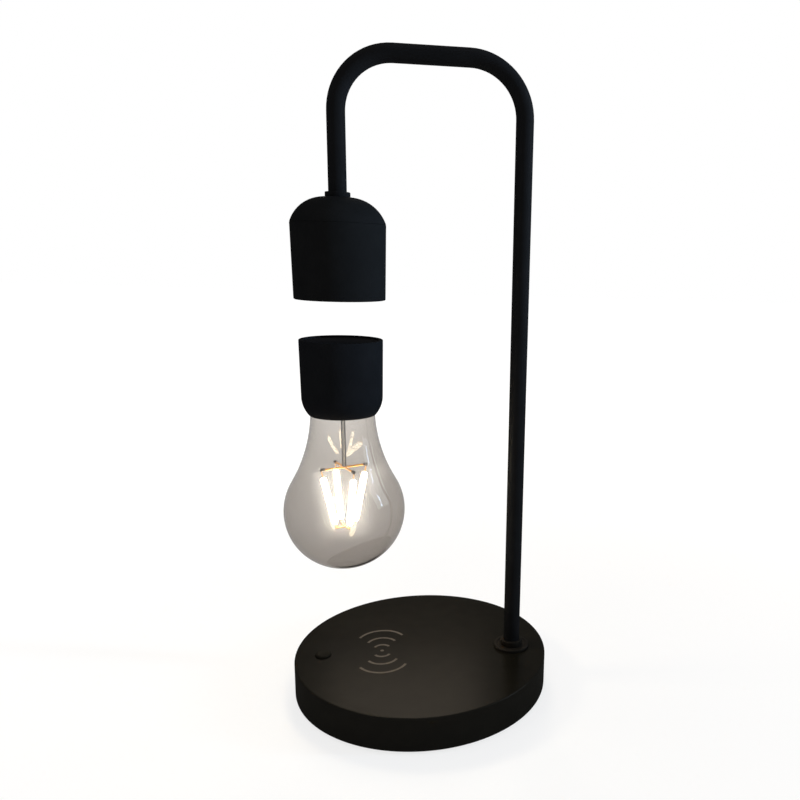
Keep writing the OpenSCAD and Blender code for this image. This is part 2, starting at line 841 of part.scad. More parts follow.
module head_header() {
    color("ivory") on_bulb_axis()
        translate([-head_header_size[0] / 2, -head_header_size[1] / 2, head_board_top])
            cube(head_header_size);
}

module link_wires() {
    color("firebrick") on_bulb_axis() for (i = [0 : link_count - 1])
        rotate([0, 0, i * 360 / link_count]) translate([link_r, 0, hall_top])
            cylinder(d = link_d, h = head_board_low - hall_top);
}

module button_cap() {
    color("#191918") translate([button_pos[0], button_pos[1], 0]) {
        translate([0, 0, lip_low]) cylinder(d = button_d + 2 * button_lip_w, h = button_lip_t);
        translate([0, 0, lip_low])
            rounded_disc(button_d / 2, base_top + button_raise - lip_low, button_edge_r);
        translate([0, 0, stem_low]) cylinder(d = button_stem_d, h = button_stem_l + button_lip_t / 2);
    }
}

module switch_plunger() {
    color("ivory") translate([button_pos[0], button_pos[1], switch_top - plunger_in])
        cylinder(d = plunger_d, h = plunger_in + plunger_out);
}

module float_magnet() {
    color("silver") on_bulb_axis() translate([0, 0, pocket_low + magnet_play])
        cylinder(d = magnet_d, h = magnet_t);
}

module bulb_cap() {
    color("#14161a") on_bulb_axis() difference() {
        union() {
            translate([0, 0, cap_round_z])
                cylinder(r1 = cap_r_low, r2 = cap_r_top, h = cap_top - cap_round_z);
            rotate_extrude() intersection() {
                translate([cap_r_low - cap_round, cap_round_z]) circle(cap_round);
                translate([0, cap_low]) square([cap_r_low, cap_round_h]);
            }
            translate([0, 0, cap_low]) cylinder(r = cap_r_low - cap_round, h = cap_round_h);
        }
        translate([0, 0, cap_low - over]) cylinder(r = cap_mouth_r, h = cap_h);
        translate([0, 0, shoulder_z]) cylinder(r = cap_in_r, h = cap_h);
    }
}

module cap_lid() {
    color("#101114") on_bulb_axis() translate([0, 0, lid_low])
        rounded_disc(cap_in_r - glue_clear, lid_t, rim_edge_r);
}

module pickup_coil() {
    color("peru") on_bulb_axis() translate([0, 0, pickup_low])
        ring(cap_in_r - 2 * glue_clear, pickup_bore / 2, pickup_t);
}

module magnet_carrier() {
    color("ivory") on_bulb_axis() difference() {
        translate([0, 0, receiver_top]) cylinder(r = carrier_r, h = pickup_low - receiver_top);
        translate([0, 0, pocket_low]) cylinder(r = magnet_d / 2 + magnet_clear, h = magnet_t + over);
        translate([0, 0, receiver_top - over])
            cylinder(r = carrier_r - carrier_wall, h = pocket_low - pocket_floor_t - receiver_top + over);
        for (side = [-1, 1]) translate([0, side * pickup_lead_r, receiver_top])
            cylinder(d = pickup_lead_d + 2 * wire_clear, h = pickup_low - receiver_top + over);
    }
}

module pickup_leads() {
    color("firebrick") on_bulb_axis() for (side = [-1, 1])
        translate([0, side * pickup_lead_r, receiver_top])
            cylinder(d = pickup_lead_d, h = pickup_low - receiver_top);
}

module receiver_board() {
    color("darkgreen") on_bulb_axis() translate([0, 0, holder_top]) cylinder(r = carrier_r, h = receiver_t);
}

module receiver_parts() {
    color("#202020") on_bulb_axis() for (part = receiver_list) board_block(part, receiver_top);
}

module bulb_holder() {
    color("#303030") on_bulb_axis() {
        translate([0, 0, shoulder_z]) ring(carrier_r, neck_r + glue_clear / 2, holder_h);
        translate([0, 0, neck_top]) ring(carrier_r, neck_r - holder_lip_w, holder_lip_t);
    }
}

module glass_bulb() {
    color("#d8d2c8", 0.4) on_bulb_axis() rotate_extrude() difference() {
        glass_section(0, 0);
        glass_section(glass_t, over);
    }
}

module glass_stem() {
    flare_r = neck_r - glass_t - glue_clear / 2;
    color("#d8d2c8", 0.5) on_bulb_axis() difference() {
        union() {
            rotate_extrude() polygon([
                [0, neck_top - flare_h], [pinch_r, neck_top - flare_h], [flare_r, neck_top - flare_t],
                [flare_r, neck_top], [flare_r - flare_t, neck_top], [pinch_r, neck_top - flare_h + pinch_h],
                [0, neck_top - flare_h + pinch_h]
            ]);
            translate([0, 0, spider_z + hub_t / 2])
                cylinder(r = stem_r, h = neck_top - flare_h - spider_z - hub_t / 2 + over);
        }
        for (side = [-1, 1]) translate([side * lead_x, 0, neck_top - flare_h - over])
            cylinder(d = lead_d + 2 * wire_clear, h = pinch_h + 2 * over);
    }
}

module lead_wires() {
    color("#5a5048") on_bulb_axis() for (side = [-1, 1])
        translate([side * lead_x, 0, spider_z + hub_t / 2])
            cylinder(d = lead_d, h = holder_top - spider_z - hub_t / 2);
}

module upper_spider() {
    color("#c98a2e") {
        on_bulb_axis() translate([0, 0, spider_z - hub_t / 2]) cylinder(d = hub_d, h = hub_t);
        spider_arms(spider_wire_d, spider_z, spider_r);
    }
}

module spider_tips() {
    color("#3a2e22") at_filaments()
        translate([spider_r + tip_past - tip_l, 0, spider_z]) rotate([0, quarter, 0])
            difference() {
                cylinder(d = tip_d, h = tip_l);
                translate([0, 0, -over])
                    cylinder(d = spider_wire_d + 2 * wire_clear, h = tip_l - tip_past + over);
            }
}

module filament_pins() {
    color("#8a6a3a") difference() {
        union() {
            filament_rod(pin_d, 0, pin_lower_l);
            filament_rod(pin_d, filament_run - pin_upper_l, filament_run);
        }
        spider_arms(tip_d + 2 * wire_clear, spider_z, spider_r + tip_past);
        spider_arms(spider_wire_d + 2 * wire_clear, lower_z, lower_r + pin_d);
    }
}

module led_filaments() {
    color("#ffe9b0") filament_rod(filament_d, pin_lower_l, filament_run - pin_upper_l);
}

module lower_spider() {
    color("#c98a2e") {
        on_bulb_axis() translate([0, 0, lower_z - hub_t / 2]) cylinder(d = lower_hub_d, h = hub_t);
        spider_arms(spider_wire_d, lower_z, lower_r + pin_d);
    }
}

base_cover();
charging_mark();
bottom_plate();
bottom_screws();
anti_slip_pad();
ballast_plate();
main_board();
board_screws();
board_chips();
board_inductors();
board_capacitors();
cable_header();
power_jack();
jack_pin();
power_leads();
switch_body();
charging_coil();
coil_ferrite();
coil_leads();
lamp_cable();
arm_tube();
base_flange();
post_collar();
post_washer();
post_nut();
head_collar();
head_nut();
head_dome();
head_sleeve();
head_bottom_cover();
power_coil();
hall_board();
hall_sensor();
lift_bobbin();
lift_core();
lift_coil();
bias_magnet();
head_board();
head_header();
link_wires();
button_cap();
switch_plunger();
float_magnet();
bulb_cap();
cap_lid();
pickup_coil();
magnet_carrier();
pickup_leads();
receiver_board();
receiver_parts();
bulb_holder();
glass_bulb();
glass_stem();
lead_wires();
upper_spider();
spider_tips();
filament_pins();
led_filaments();
lower_spider();
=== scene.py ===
"""Looks of a levitating table lamp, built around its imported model, in metres."""

import logging
import math
from collections.abc import Sequence
from dataclasses import dataclass, field
from enum import Enum

import bmesh
import bpy
from mathutils import Matrix, Vector


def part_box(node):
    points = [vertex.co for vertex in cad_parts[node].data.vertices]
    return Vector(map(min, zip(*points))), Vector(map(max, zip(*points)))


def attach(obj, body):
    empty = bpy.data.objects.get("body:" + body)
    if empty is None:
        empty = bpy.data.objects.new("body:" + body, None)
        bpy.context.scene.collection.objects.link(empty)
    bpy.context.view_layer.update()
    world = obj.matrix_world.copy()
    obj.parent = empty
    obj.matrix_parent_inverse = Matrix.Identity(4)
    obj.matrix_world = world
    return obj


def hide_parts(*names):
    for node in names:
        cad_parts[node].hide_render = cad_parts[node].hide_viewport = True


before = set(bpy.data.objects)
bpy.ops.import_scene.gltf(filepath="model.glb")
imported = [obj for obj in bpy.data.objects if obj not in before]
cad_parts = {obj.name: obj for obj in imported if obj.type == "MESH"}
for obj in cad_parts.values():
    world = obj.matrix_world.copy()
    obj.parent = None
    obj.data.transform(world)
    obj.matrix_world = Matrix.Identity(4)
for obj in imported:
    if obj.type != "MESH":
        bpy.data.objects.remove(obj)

log = logging.getLogger("lamp")

Material = bpy.types.Material
Node = bpy.types.Node
Piece = bpy.types.Object
Socket = bpy.types.NodeSocket
Ring = list[bmesh.types.BMVert]
Colour = tuple[float, float, float]
Place = tuple[float, float, float]
Point = tuple[float, float]
Corner = tuple[float, float, float]
Section = list[Point]
Station = tuple[Vector, float]

MM = 0.001
# Steps round a turned piece, round a wire, and along a fillet or a rounded wire end
TURN_STEPS = 128
WIRE_SIDES = 16
FILLET_STEPS = 5
# Arcs get one point for about this many degrees, and no fewer steps than these
ARC_STEP = 2.5
ARC_LEAST = 2
# A radius below this counts as a point on the axis
POLE = 1e-7
# Edges sharper than this stay crisp in the shading
CRISP_ANGLE = math.radians(32)
# Fillet in the bottom of a fine groove, as a share of the groove's depth
GROOVE_FILLET = 0.25
# Share of a crimp's length and its share of the full radius there, with a pinch in the middle
CRIMP_SHAPE = (
    (0.0, 0.0), (0.0, 0.7), (0.12, 1.0), (0.4, 1.0), (0.48, 0.82), (0.58, 0.82), (0.66, 1.0),
    (0.86, 1.0), (0.96, 0.75), (1.0, 0.0),
)

WHITE = (1, 1, 1, 1)
# Values of a noise between which its clouds change
CLOUD_SPAN = (0.3, 0.7)
# How many times finer the clouds of roughness are than those of colour
ROUGH_FINER = 3
# How many times longer than wide the lines of drawn metal are
DRAWN_STRETCH = 40
# Octaves of a cloudy noise and of a spark-eroded grain
CLOUD_DETAIL = 3
SPARK_DETAIL = 2
# Radians of a wave texture per metre at a scale of 1, and how uneven its waves are
WAVE_RATE = 20
WAVE_WOBBLE = 0.4
# Sockets of the mix node: its two colours and their mix
MIX_COLOURS = (6, 7)
MIX_RESULT = 2


class Body(Enum):
    """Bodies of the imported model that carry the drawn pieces."""

    FRAME = "lamp_frame"
    BUTTON = "button"
    BULB = "bulb"


class Grain(Enum):
    """Relief of a finish."""

    SPARKED = "fine grain of a spark-eroded mould"
    PEEL = "soft waves of a sprayed coat"
    DRAWN = "lengthwise lines of drawn metal"
    TURNED = "rings left by a lathe"
    WOUND = "turns of a winding"
    TRACED = "tracks under a board's lacquer"


class Nodes:
    """Short calls on a node tree, shared by the finishes, the floor and the surround."""

    def __init__(self, tree: bpy.types.NodeTree) -> None:
        """Takes the tree to work in."""
        self.tree = tree

    def put(self, value: object, socket: Socket) -> None:
        """Gives a socket its value.

        Args:
            value: Constant, or socket to link.
            socket: Socket that takes it.
        """
        if isinstance(value, Socket):
            self.tree.links.new(value, socket)
        else:
            socket.default_value = value

    def node(self, kind: str, **inputs: object) -> Node:
        """Adds a node.

        Args:
            kind: Kind of the node, without its ShaderNode prefix.
            inputs: Constants or sockets by input name, with _ for a space.

        Returns:
            The new node.
        """
        made = self.tree.nodes.new("ShaderNode" + kind)
        for name, value in inputs.items():
            self.put(value, made.inputs[name.replace("_", " ")])
        return made

    def maths(self, operation: str, first: object, second: object) -> Socket:
        """Calculates with two values.

        Args:
            operation: Name of the operation.
            first: Constant or socket.
            second: Constant or socket.

        Returns:
            The result.
        """
        made = self.node("Math")
        made.operation = operation
        self.put(first, made.inputs[0])
        self.put(second, made.inputs[1])
        return made.outputs[0]

    def spread(self, source: Socket, low: float, high: float, span: Point = CLOUD_SPAN) -> Socket:
        """Maps a value onto a range.

        Args:
            source: The value.
            low: Result at the start of the span.
            high: Result at the end of the span.
            span: Values that become low and high.

        Returns:
            The mapped value.
        """
        start, end = span
        made = self.node("MapRange", Value=source, From_Min=start, From_Max=end, To_Min=low, To_Max=high)
        return made.outputs["Result"]

    def mixed(self, share: object, first: Node, second: Node) -> Node:
        """Mixes two shaders.

        Args:
            share: Share of the second shader, a constant or a socket.
            first: Shader at a share of 0.
            second: Shader at a share of 1.

        Returns:
            The mix shader.
        """
        made = self.node("MixShader", Fac=share)
        self.put(first.outputs[0], made.inputs[1])
        self.put(second.outputs[0], made.inputs[2])
        return made

    def seen(self) -> Socket:
        """Tells rays that see the background from rays that only light the lamp.

        Returns:
            1 for rays that see it, and 0 for the others.
        """
        path = self.node("LightPath").outputs
        either = self.maths("MAXIMUM", path["Is Camera Ray"], path["Is Glossy Ray"])
        return self.maths("MAXIMUM", either, path["Is Transmission Ray"])


class Shader(Nodes):
    """Node tree of one material, with short calls for the patterns that the finishes share."""

    def __init__(self, name: str) -> None:
        """Starts a material with its principled shader.

        Args:
            name: Name of the material.
        """
        self.material = bpy.data.materials.new(name)
        self.material.use_nodes = True
        super().__init__(self.material.node_tree)
        self.surface = self.tree.nodes["Principled BSDF"]
        self.place = self.node("TexCoord").outputs["Object"]

    def fix(self, **values: object) -> None:
        """Gives sockets of the principled shader constants or links, with _ for each space of a name."""
        for name, value in values.items():
            self.put(value, self.surface.inputs[name.replace("_", " ")])

    def noise(self, size: float, stretch: Sequence[float] = (1, 1, 1),
              detail: float = CLOUD_DETAIL) -> Socket:
        """Adds a cloudy noise.

        Args:
            size: Width of one cloud, in metres.
            stretch: Share of that width on each axis.
            detail: Octaves of the noise.

        Returns:
            The noise, about 0 to 1.
        """
        scale = [1 / (size * share) for share in stretch]
        mapping = self.node("Mapping", Vector=self.place, Scale=scale)
        return self.node("TexNoise", Vector=mapping.outputs[0], Scale=1, Detail=detail).outputs["Fac"]

    def waves(self, size: float, axis: str, rings: bool = False) -> Socket:
        """Adds even waves.

        Args:
            size: Length of one wave, in metres.
            axis: X, Y or Z, across the waves or along the rings' axis.
            rings: Whether the waves are rings.

        Returns:
            The waves, 0 to 1.
        """
        scale = 2 * math.pi / (WAVE_RATE * size)
        made = self.node("TexWave", Vector=self.place, Scale=scale, Distortion=WAVE_WOBBLE, Detail=1)
        if rings:
            made.wave_type = "RINGS"
            made.rings_direction = axis
        else:
            made.bands_direction = axis
        return made.outputs["Fac"]

    def blend(self, share: Socket, first: object, second: object) -> Socket:
        """Mixes two colours.

        Args:
            share: Share of the second colour.
            first: Colour or socket at a share of 0.
            second: Colour or socket at a share of 1.

        Returns:
            The mixed colour.
        """
        made = self.node("Mix")
        made.data_type = "RGBA"
        self.put(share, made.inputs["Factor"])
        for number, value in zip(MIX_COLOURS, (first, second)):
            self.put(value if isinstance(value, Socket) else (*value, 1), made.inputs[number])
        return made.outputs[MIX_RESULT]

    def height(self) -> Socket:
        """Gives the place's height over the table."""
        return self.node("SeparateXYZ", Vector=self.place).outputs["Z"]

    def relief(self, height: Socket, depth: float) -> Socket:
        """Gives the normals of a relief, from its height, 0 to 1, and its depth in metres."""
        return self.node("Bump", Height=height, Strength=1, Distance=depth).outputs["Normal"]

    def show(self, shown: Node) -> None:
        """Shows another shader in place of the principled one."""
        self.put(shown.outputs[0], self.tree.nodes["Material Output"].inputs["Surface"])
        self.tree.nodes.remove(self.surface)


@dataclass(frozen=True)
class Finish:
    """Finish that is made once and shared by its pieces."""

    name: str

    @property
    def title(self) -> str:
        """Name of the finish's material."""
        return self.name + "_finish"

    def material(self) -> Material:
        """Gives the finish's material, made on the first call."""
        return bpy.data.materials.get(self.title) or self.make()

    def make(self) -> Material:
        """Makes the finish's material."""
        raise NotImplementedError


@dataclass(frozen=True)
class Coating(Finish):
    """Opaque finish: moulded plastic, sprayed metal, bare metal, rubber or lacquer."""

    colour: Colour
    shade: Colour
    rough: Point
    grain: Grain = Grain.SPARKED
    grain_size: float = 0.35 * MM
    grain_depth: float = 0.01 * MM
    cloud_size: float = 9 * MM
    gloss: float = 0.5
    coat: float = 0.0
    coat_rough: float = 0.4
    coat_index: float = 1.5
    metallic: float = 0.0
    axis: str = "Z"

    def make(self) -> Material:
        """Makes the finish: two clouded tints, clouded roughness and its grain.

        Returns:
            The material.
        """
        shader = Shader(self.title)
        cloud = shader.spread(shader.noise(self.cloud_size), 0, 1)
        shader.fix(
            Base_Color=shader.blend(cloud, self.colour, self.shade),
            Roughness=shader.spread(shader.noise(self.cloud_size / ROUGH_FINER), *self.rough),
            Metallic=self.metallic,
            Specular_IOR_Level=self.gloss,
            Coat_Weight=self.coat,
            Coat_Roughness=self.coat_rough,
            Coat_IOR=self.coat_index,
            Normal=shader.relief(self.grain_height(shader), self.grain_depth),
        )
        return shader.material

    def grain_height(self, shader: Shader) -> Socket:
        """Draws the grain.

        Args:
            shader: The finish's node tree.

        Returns:
            Height of the grain, 0 to 1.
        """
        if self.grain in (Grain.SPARKED, Grain.PEEL):
            return shader.noise(self.grain_size, detail=SPARK_DETAIL if self.grain is Grain.SPARKED else 0)
        if self.grain is Grain.DRAWN:
            stretch = [DRAWN_STRETCH if name == self.axis else 1 for name in "XYZ"]
            return shader.noise(self.grain_size, stretch)
        if self.grain is Grain.TRACED:
            return shader.node("TexBrick", Vector=shader.place, Scale=1 / self.grain_size).outputs["Fac"]
        return shader.waves(self.grain_size, self.axis, rings=self.grain is Grain.TURNED)


@dataclass(frozen=True)
class BlownGlass(Finish):
    """Clear blown glass whose tint is painted shade, darker downwards and towards its edge."""

    top_shade_tint: Colour
    low_shade_tint: Colour
    edge_shade_tint: Colour
    low: float
    top: float
    index: float = 1.46
    edge_blend: float = 0.3
    most_gleam: float = 0.026
    trapped_gleam: float = 0.55
    trapped_span: Point = (0.9, 1)
    ripple_size: float = 16 * MM
    ripple_depth: float = 0.012 * MM
    ripple_detail: float = 1
    haze: float = 0.0
    haze_rough: float = 0.5
    haze_tint: Colour = (0.68, 0.74, 0.88)

    def make(self) -> Material:
        """Makes the glass: its tints of painted shade, the ripple of its blowing, its haze and a gleam that
        stays low.

        Returns:
            The material.
        """
        shader = Shader(self.title)
        # Painted shade: the tint darkens from the top down towards the bottom, and further towards the edge
        level = shader.spread(shader.height(), 0, 1, (self.low, self.top))
        tint = shader.blend(level, self.low_shade_tint, self.top_shade_tint)
        facing = shader.node("LayerWeight", Blend=self.edge_blend).outputs["Facing"]
        tint = shader.blend(facing, tint, self.edge_shade_tint)
        normal = shader.relief(shader.noise(self.ripple_size, detail=self.ripple_detail), self.ripple_depth)
        bent = {"IOR": self.index, "Normal": normal}
        clear = shader.node("BsdfRefraction", Color=tint, Roughness=0, **bent)
        if self.haze:
            film_tint = (*self.haze_tint, 1)
            film = shader.node("BsdfRefraction", Color=film_tint, Roughness=self.haze_rough, **bent)
            clear = shader.mixed(self.haze, clear, film)
        gleam = shader.node("BsdfAnisotropic", Color=WHITE, Roughness=0, Normal=normal)
        mirrored = shader.node("Fresnel", **bent).outputs["Fac"]
        limit = shader.spread(mirrored, self.most_gleam, self.trapped_gleam, self.trapped_span)
        shader.show(shader.mixed(shader.maths("MINIMUM", mirrored, limit), clear, gleam))
        return shader.material


@dataclass(frozen=True)
class Phosphor(Finish):
    """Glowing phosphor coat of a filament, a little brighter over each chip."""

    colour: Colour
    glow: Colour
    strength: float
    chip_pitch: float = 1.4 * MM
    dip: float = 0.7
    rough: float = 0.6
    grain_size: float = 0.2 * MM
    grain_depth: float = 0.01 * MM

    def make(self) -> Material:
        """Makes the glow, its chips and the coat's fine grain.

        Returns:
            The material.
        """
        shader = Shader(self.title)
        chips = shader.waves(self.chip_pitch, "Z")
        shader.fix(
            Base_Color=shader.blend(chips, self.colour, self.glow),
            Emission_Color=(*self.glow, 1),
            Emission_Strength=shader.spread(chips, self.strength * self.dip, self.strength, (0, 1)),
            Roughness=self.rough,
            Normal=shader.relief(shader.noise(self.grain_size), self.grain_depth),
        )
        return shader.material


def arc(centre: Point, radius: float, start: float, end: float) -> Section:
    """Draws an arc of a half section.

    Args:
        centre: Radius and height of the arc's centre.
        radius: The arc's radius.
        start: First angle, in degrees from straight out, counted upwards.
        end: Last angle.

    Returns:
        Points along the arc.
    """
    steps = max(ARC_LEAST, math.ceil(abs(end - start) / ARC_STEP))
    angles = [math.radians(start + (end - start) * i / steps) for i in range(steps + 1)]
    return [(centre[0] + radius * math.cos(a), centre[1] + radius * math.sin(a)) for a in angles]


def groove(radius: float, level: float, rise: float) -> list[Corner]:
    """Draws a fine groove of a flat face, from its inner to its outer edge.

    Args:
        radius: Radius of the groove's middle.
        level: Level of the face.
        rise: Level of the groove's bottom over the face, negative in a top face.

    Returns:
        The groove's corners.
    """
    half = abs(rise)
    bottom = (radius, level + rise, half * GROOVE_FILLET)
    return [(radius - half, level, 0), bottom, (radius + half, level, 0)]


def rounded(corners: Sequence[Corner], closed: bool = True) -> Section:
    """Draws an outline whose corners have fillets.

    Args:
        corners: Radius, height and fillet of each corner, in order.
        closed: Whether the last corner joins the first one.

    Returns:
        Points along the outline.
    """
    points: Section = []
    for i, (r, z, fillet) in enumerate(corners):
        is_end = not closed and i in (0, len(corners) - 1)
        if not fillet or is_end:
            points.append((r, z))
            continue
        spot = Vector((r, z))
        back = (Vector(corners[i - 1][:2]) - spot).normalized()
        ahead = (Vector(corners[(i + 1) % len(corners)][:2]) - spot).normalized()
        half = back.angle(ahead) / 2
        middle = spot + (back + ahead).normalized() * (fillet / math.sin(half))
        first = spot + back * (fillet / math.tan(half)) - middle
        last = spot + ahead * (fillet / math.tan(half)) - middle
        sweep = first.angle_signed(last)
        for step in range(FILLET_STEPS + 1):
            turn = Matrix.Rotation(-sweep * step / FILLET_STEPS, 2)
            points.append(tuple(middle + turn @ first))
    return points


def placed(name: str, data: bpy.types.ID) -> Piece:
    """Adds an object to the scene.

    Args:
        name: Name of the object.
        data: Its mesh, light or camera.

    Returns:
        The object.
    """
    made = bpy.data.objects.new(name, data)
    bpy.context.scene.collection.objects.link(made)
    return made


class Sketch:
    """Mesh of one piece while it is drawn, in the lamp's frame."""

    def __init__(self) -> None:
        """Starts an empty mesh."""
        self.mesh = bmesh.new()

    def bridge(self, low: Ring, high: Ring) -> None:
        """Joins two rings of points, either of which may be a single point.

        Args:
            low: First ring.
            high: Second ring.
        """
        count = max(len(low), len(high))
        if count == 1:
            return
        for i in range(count):
            j = (i + 1) % count
            around = (low[i % len(low)], low[j % len(low)], high[j % len(high)], high[i % len(high)])
            self.mesh.faces.new(list(dict.fromkeys(around)))

    def turn(self, section: Section, place: Matrix, closed: bool = True) -> "Sketch":
        """Turns a half section about the Z axis of a place.

        Args:
            section: Radius and height of each point.
            place: Where the axis stands.
            closed: Whether the last point joins the first one.

        Returns:
            The sketch itself.
        """
        rings = []
        for r, z in section:
            count = 1 if r < POLE else TURN_STEPS
            angles = [2 * math.pi * i / count for i in range(count)]
            spots = [place @ Vector((r * math.cos(a), r * math.sin(a), z)) for a in angles]
            rings.append([self.mesh.verts.new(spot) for spot in spots])
        follow = rings[1:] + rings[:1] if closed else rings[1:]
        for low, high in zip(rings, follow):
            self.bridge(low, high)
        return self

    def ring(self, corners: Sequence[Corner], place: Matrix) -> "Sketch":
        """Turns a ring about a place from the corners of its section."""
        return self.turn(rounded(corners), place)

    def solid(self, corners: Sequence[Corner], place: Matrix) -> "Sketch":
        """Turns a solid about a place from corners that start and end on its axis."""
        return self.turn(rounded(corners, closed=False), place, closed=False)

    def loft(self, stations: Sequence[Station]) -> None:
        """Draws a round bar through stations, each with its own radius.

        Args:
            stations: Place and radius of each ring, in order.
        """
        spots = [spot for spot, _ in stations]
        side = Vector((0, 0, 1)).cross(spots[-1] - spots[0])
        side = side.normalized() if side.length > POLE else Vector((1, 0, 0))
        rings = []
        for i, (spot, radius) in enumerate(stations):
            along = (spots[min(i + 1, len(spots) - 1)] - spots[max(i - 1, 0)]).normalized()
            side = (side - along * side.dot(along)).normalized()
            up = along.cross(side)
            count = 1 if radius < POLE else WIRE_SIDES
            angles = [2 * math.pi * k / count for k in range(count)]
            ring = [spot + (side * math.cos(a) + up * math.sin(a)) * radius for a in angles]
            rings.append([self.mesh.verts.new(corner) for corner in ring])
        for low, high in zip(rings, rings[1:]):
            self.bridge(low, high)

    def wire(self, path: Sequence[Vector], radius: float) -> None:
        """Draws a wire with rounded ends along a path.

        Args:
            path: Points along the wire, ends included.
            radius: Radius of the wire.
        """
        out = [(path[0] - path[1]).normalized(), (path[-1] - path[-2]).normalized()]
        angles = [math.pi / 2 * i / FILLET_STEPS for i in range(FILLET_STEPS + 1)]
        cap = [(radius * (math.sin(a) - 1), radius * math.cos(a)) for a in angles]
        cap[-1] = (0.0, 0.0)
        start = [(path[0] + out[0] * reach, r) for reach, r in reversed(cap)]
        end = [(path[-1] + out[1] * reach, r) for reach, r in cap]
        self.loft([*start, *[(spot, radius) for spot in path[1:-1]], *end])

    def rod(self, start: Vector, end: Vector, radius: float) -> None:
        """Draws a straight wire with rounded ends from a start to an end."""
        self.wire([start, (start + end) / 2, end], radius)

    def piece(self, name: str, body: Body, finish: Finish, slot: str, *replaces: str) -> Piece:
        """Turns the drawn mesh into a piece of the lamp.

        Args:
            name: Name of the piece.
            body: Body that carries it.
            finish: Its finish.
            slot: Material slot of the record; not used.
            replaces: CAD nodes that it stands for.

        Returns:
            The piece.
        """
        bmesh.ops.recalc_face_normals(self.mesh, faces=self.mesh.faces[:])
        data = bpy.data.meshes.new(name)
        self.mesh.to_mesh(data)
        self.mesh.free()
        data.shade_smooth()
        data.set_sharp_from_angle(angle=CRISP_ANGLE)
        data.materials.append(finish.material())
        made = placed(name, data)
        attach(made, body.value)
        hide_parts(*replaces)
        return made


@dataclass(frozen=True)
class Bounds:
    """Axis, levels and radius of a round upright CAD node."""

    x: float
    y: float
    low: float
    top: float
    radius: float

    @classmethod
    def of(cls, node: str) -> "Bounds":
        """Reads a node's bounds from the frame.

        Args:
            node: Name of the node.

        Returns:
            Its bounds.
        """
        low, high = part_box(node)
        middle = (low + high) / 2
        return cls(middle.x, middle.y, low.z, high.z, (high.y - low.y) / 2)

    @property
    def axis(self) -> Matrix:
        """Place of the node's axis, at the table's level."""
        return Matrix.Translation((self.x, self.y, 0))


BASE_BLACK = Coating(
    "base_black", (0.0056, 0.0050, 0.0036), (0.0072, 0.0065, 0.0048), (0.5, 0.62),
    grain_depth=0.005 * MM, gloss=0.0, coat=0.016, coat_rough=0.19, coat_index=2.5)
MARK_PRINT = Coating(
    "mark_print", (0.039, 0.030, 0.020), (0.050, 0.039, 0.027), (0.5, 0.65),
    cloud_size=2 * MM, grain_size=0.25 * MM, gloss=0.1, coat=0.04)
PLATE_BLACK = Coating("plate_black", (0.014, 0.014, 0.014), (0.02, 0.02, 0.019), (0.5, 0.65), gloss=0.2)
PAD_RUBBER = Coating(
    "pad_rubber", (0.009, 0.009, 0.009), (0.014, 0.014, 0.013), (0.75, 0.9),
    grain_size=0.6 * MM, grain_depth=0.04 * MM, gloss=0.15)
STEEL = Coating(
    "steel", (0.5, 0.5, 0.49), (0.62, 0.62, 0.61), (0.25, 0.4),
    Grain.TURNED, 0.3 * MM, 0.004 * MM, metallic=1.0)
BOARD_GREEN = Coating(
    "board_green", (0.008, 0.06, 0.02), (0.012, 0.085, 0.03), (0.25, 0.4),
    Grain.TRACED, 6 * MM, 0.03 * MM)
CHIP_BLACK = Coating("chip_black", (0.012, 0.012, 0.013), (0.02, 0.02, 0.02), (0.4, 0.55))
FERRITE = Coating(
    "ferrite", (0.035, 0.034, 0.036), (0.055, 0.053, 0.054), (0.6, 0.75),
    grain_size=0.2 * MM, grain_depth=0.02 * MM)
CAPACITOR_CAN = Coating(
    "capacitor_can", (0.45, 0.45, 0.46), (0.55, 0.55, 0.55), (0.25, 0.35),
    Grain.TURNED, 0.25 * MM, 0.004 * MM, metallic=1.0)
NYLON = Coating("nylon", (0.62, 0.59, 0.5), (0.7, 0.67, 0.58), (0.4, 0.5), grain_depth=0.006 * MM)
SOCKET_BLACK = Coating(
    "socket_black", (0.008, 0.008, 0.008), (0.012, 0.012, 0.012), (0.3, 0.42), gloss=0.25)
CONTACT_METAL = Coating(
    "contact_metal", (0.72, 0.66, 0.52), (0.8, 0.75, 0.62), (0.2, 0.32),
    Grain.DRAWN, 0.15 * MM, 0.003 * MM, metallic=1.0, axis="Y")
WIRE_JACKET = Coating("wire_jacket", (0.22, 0.012, 0.01), (0.3, 0.02, 0.016), (0.35, 0.5))
COPPER = Coating(
    "copper", (0.72, 0.3, 0.14), (0.82, 0.38, 0.2), (0.22, 0.36),
    Grain.WOUND, 0.4 * MM, 0.05 * MM, metallic=1.0)
COPPER_FLAT = Coating(
    "copper_flat", COPPER.colour, COPPER.shade, COPPER.rough,
    Grain.TURNED, 0.8 * MM, 0.08 * MM, metallic=1.0)
CABLE_BLACK = Coating(
    "cable_black", (0.009, 0.009, 0.009), (0.013, 0.013, 0.013), (0.45, 0.6), gloss=0.3)
TUBE_BLACK = Coating(
    "tube_black", (0.0060, 0.0062, 0.0068), (0.0075, 0.0077, 0.0085), (0.42, 0.52),
    Grain.PEEL, 1.1 * MM, 0.006 * MM, gloss=0.0, coat=0.008, coat_rough=0.45, coat_index=2.5)
# Warmer, lighter copy of the collars' black for the flange and post collar by the base: painted warm light
FITTING_BLACK_PAINTED_WARM_LIGHT = Coating(
    "fitting_black", (0.0098, 0.0085, 0.0070), (0.0120, 0.0105, 0.0088), (0.45, 0.55),
    Grain.TURNED, 0.5 * MM, 0.004 * MM, gloss=0.0, coat=0.03, coat_rough=0.36)
HEAD_BLACK = Coating(
    "head_black", (0.0068, 0.0071, 0.0075), (0.0083, 0.0086, 0.0091), (0.48, 0.58),
    grain_size=0.3 * MM, grain_depth=0.006 * MM, gloss=0.0, coat=0.004, coat_rough=0.5, coat_index=2.5)
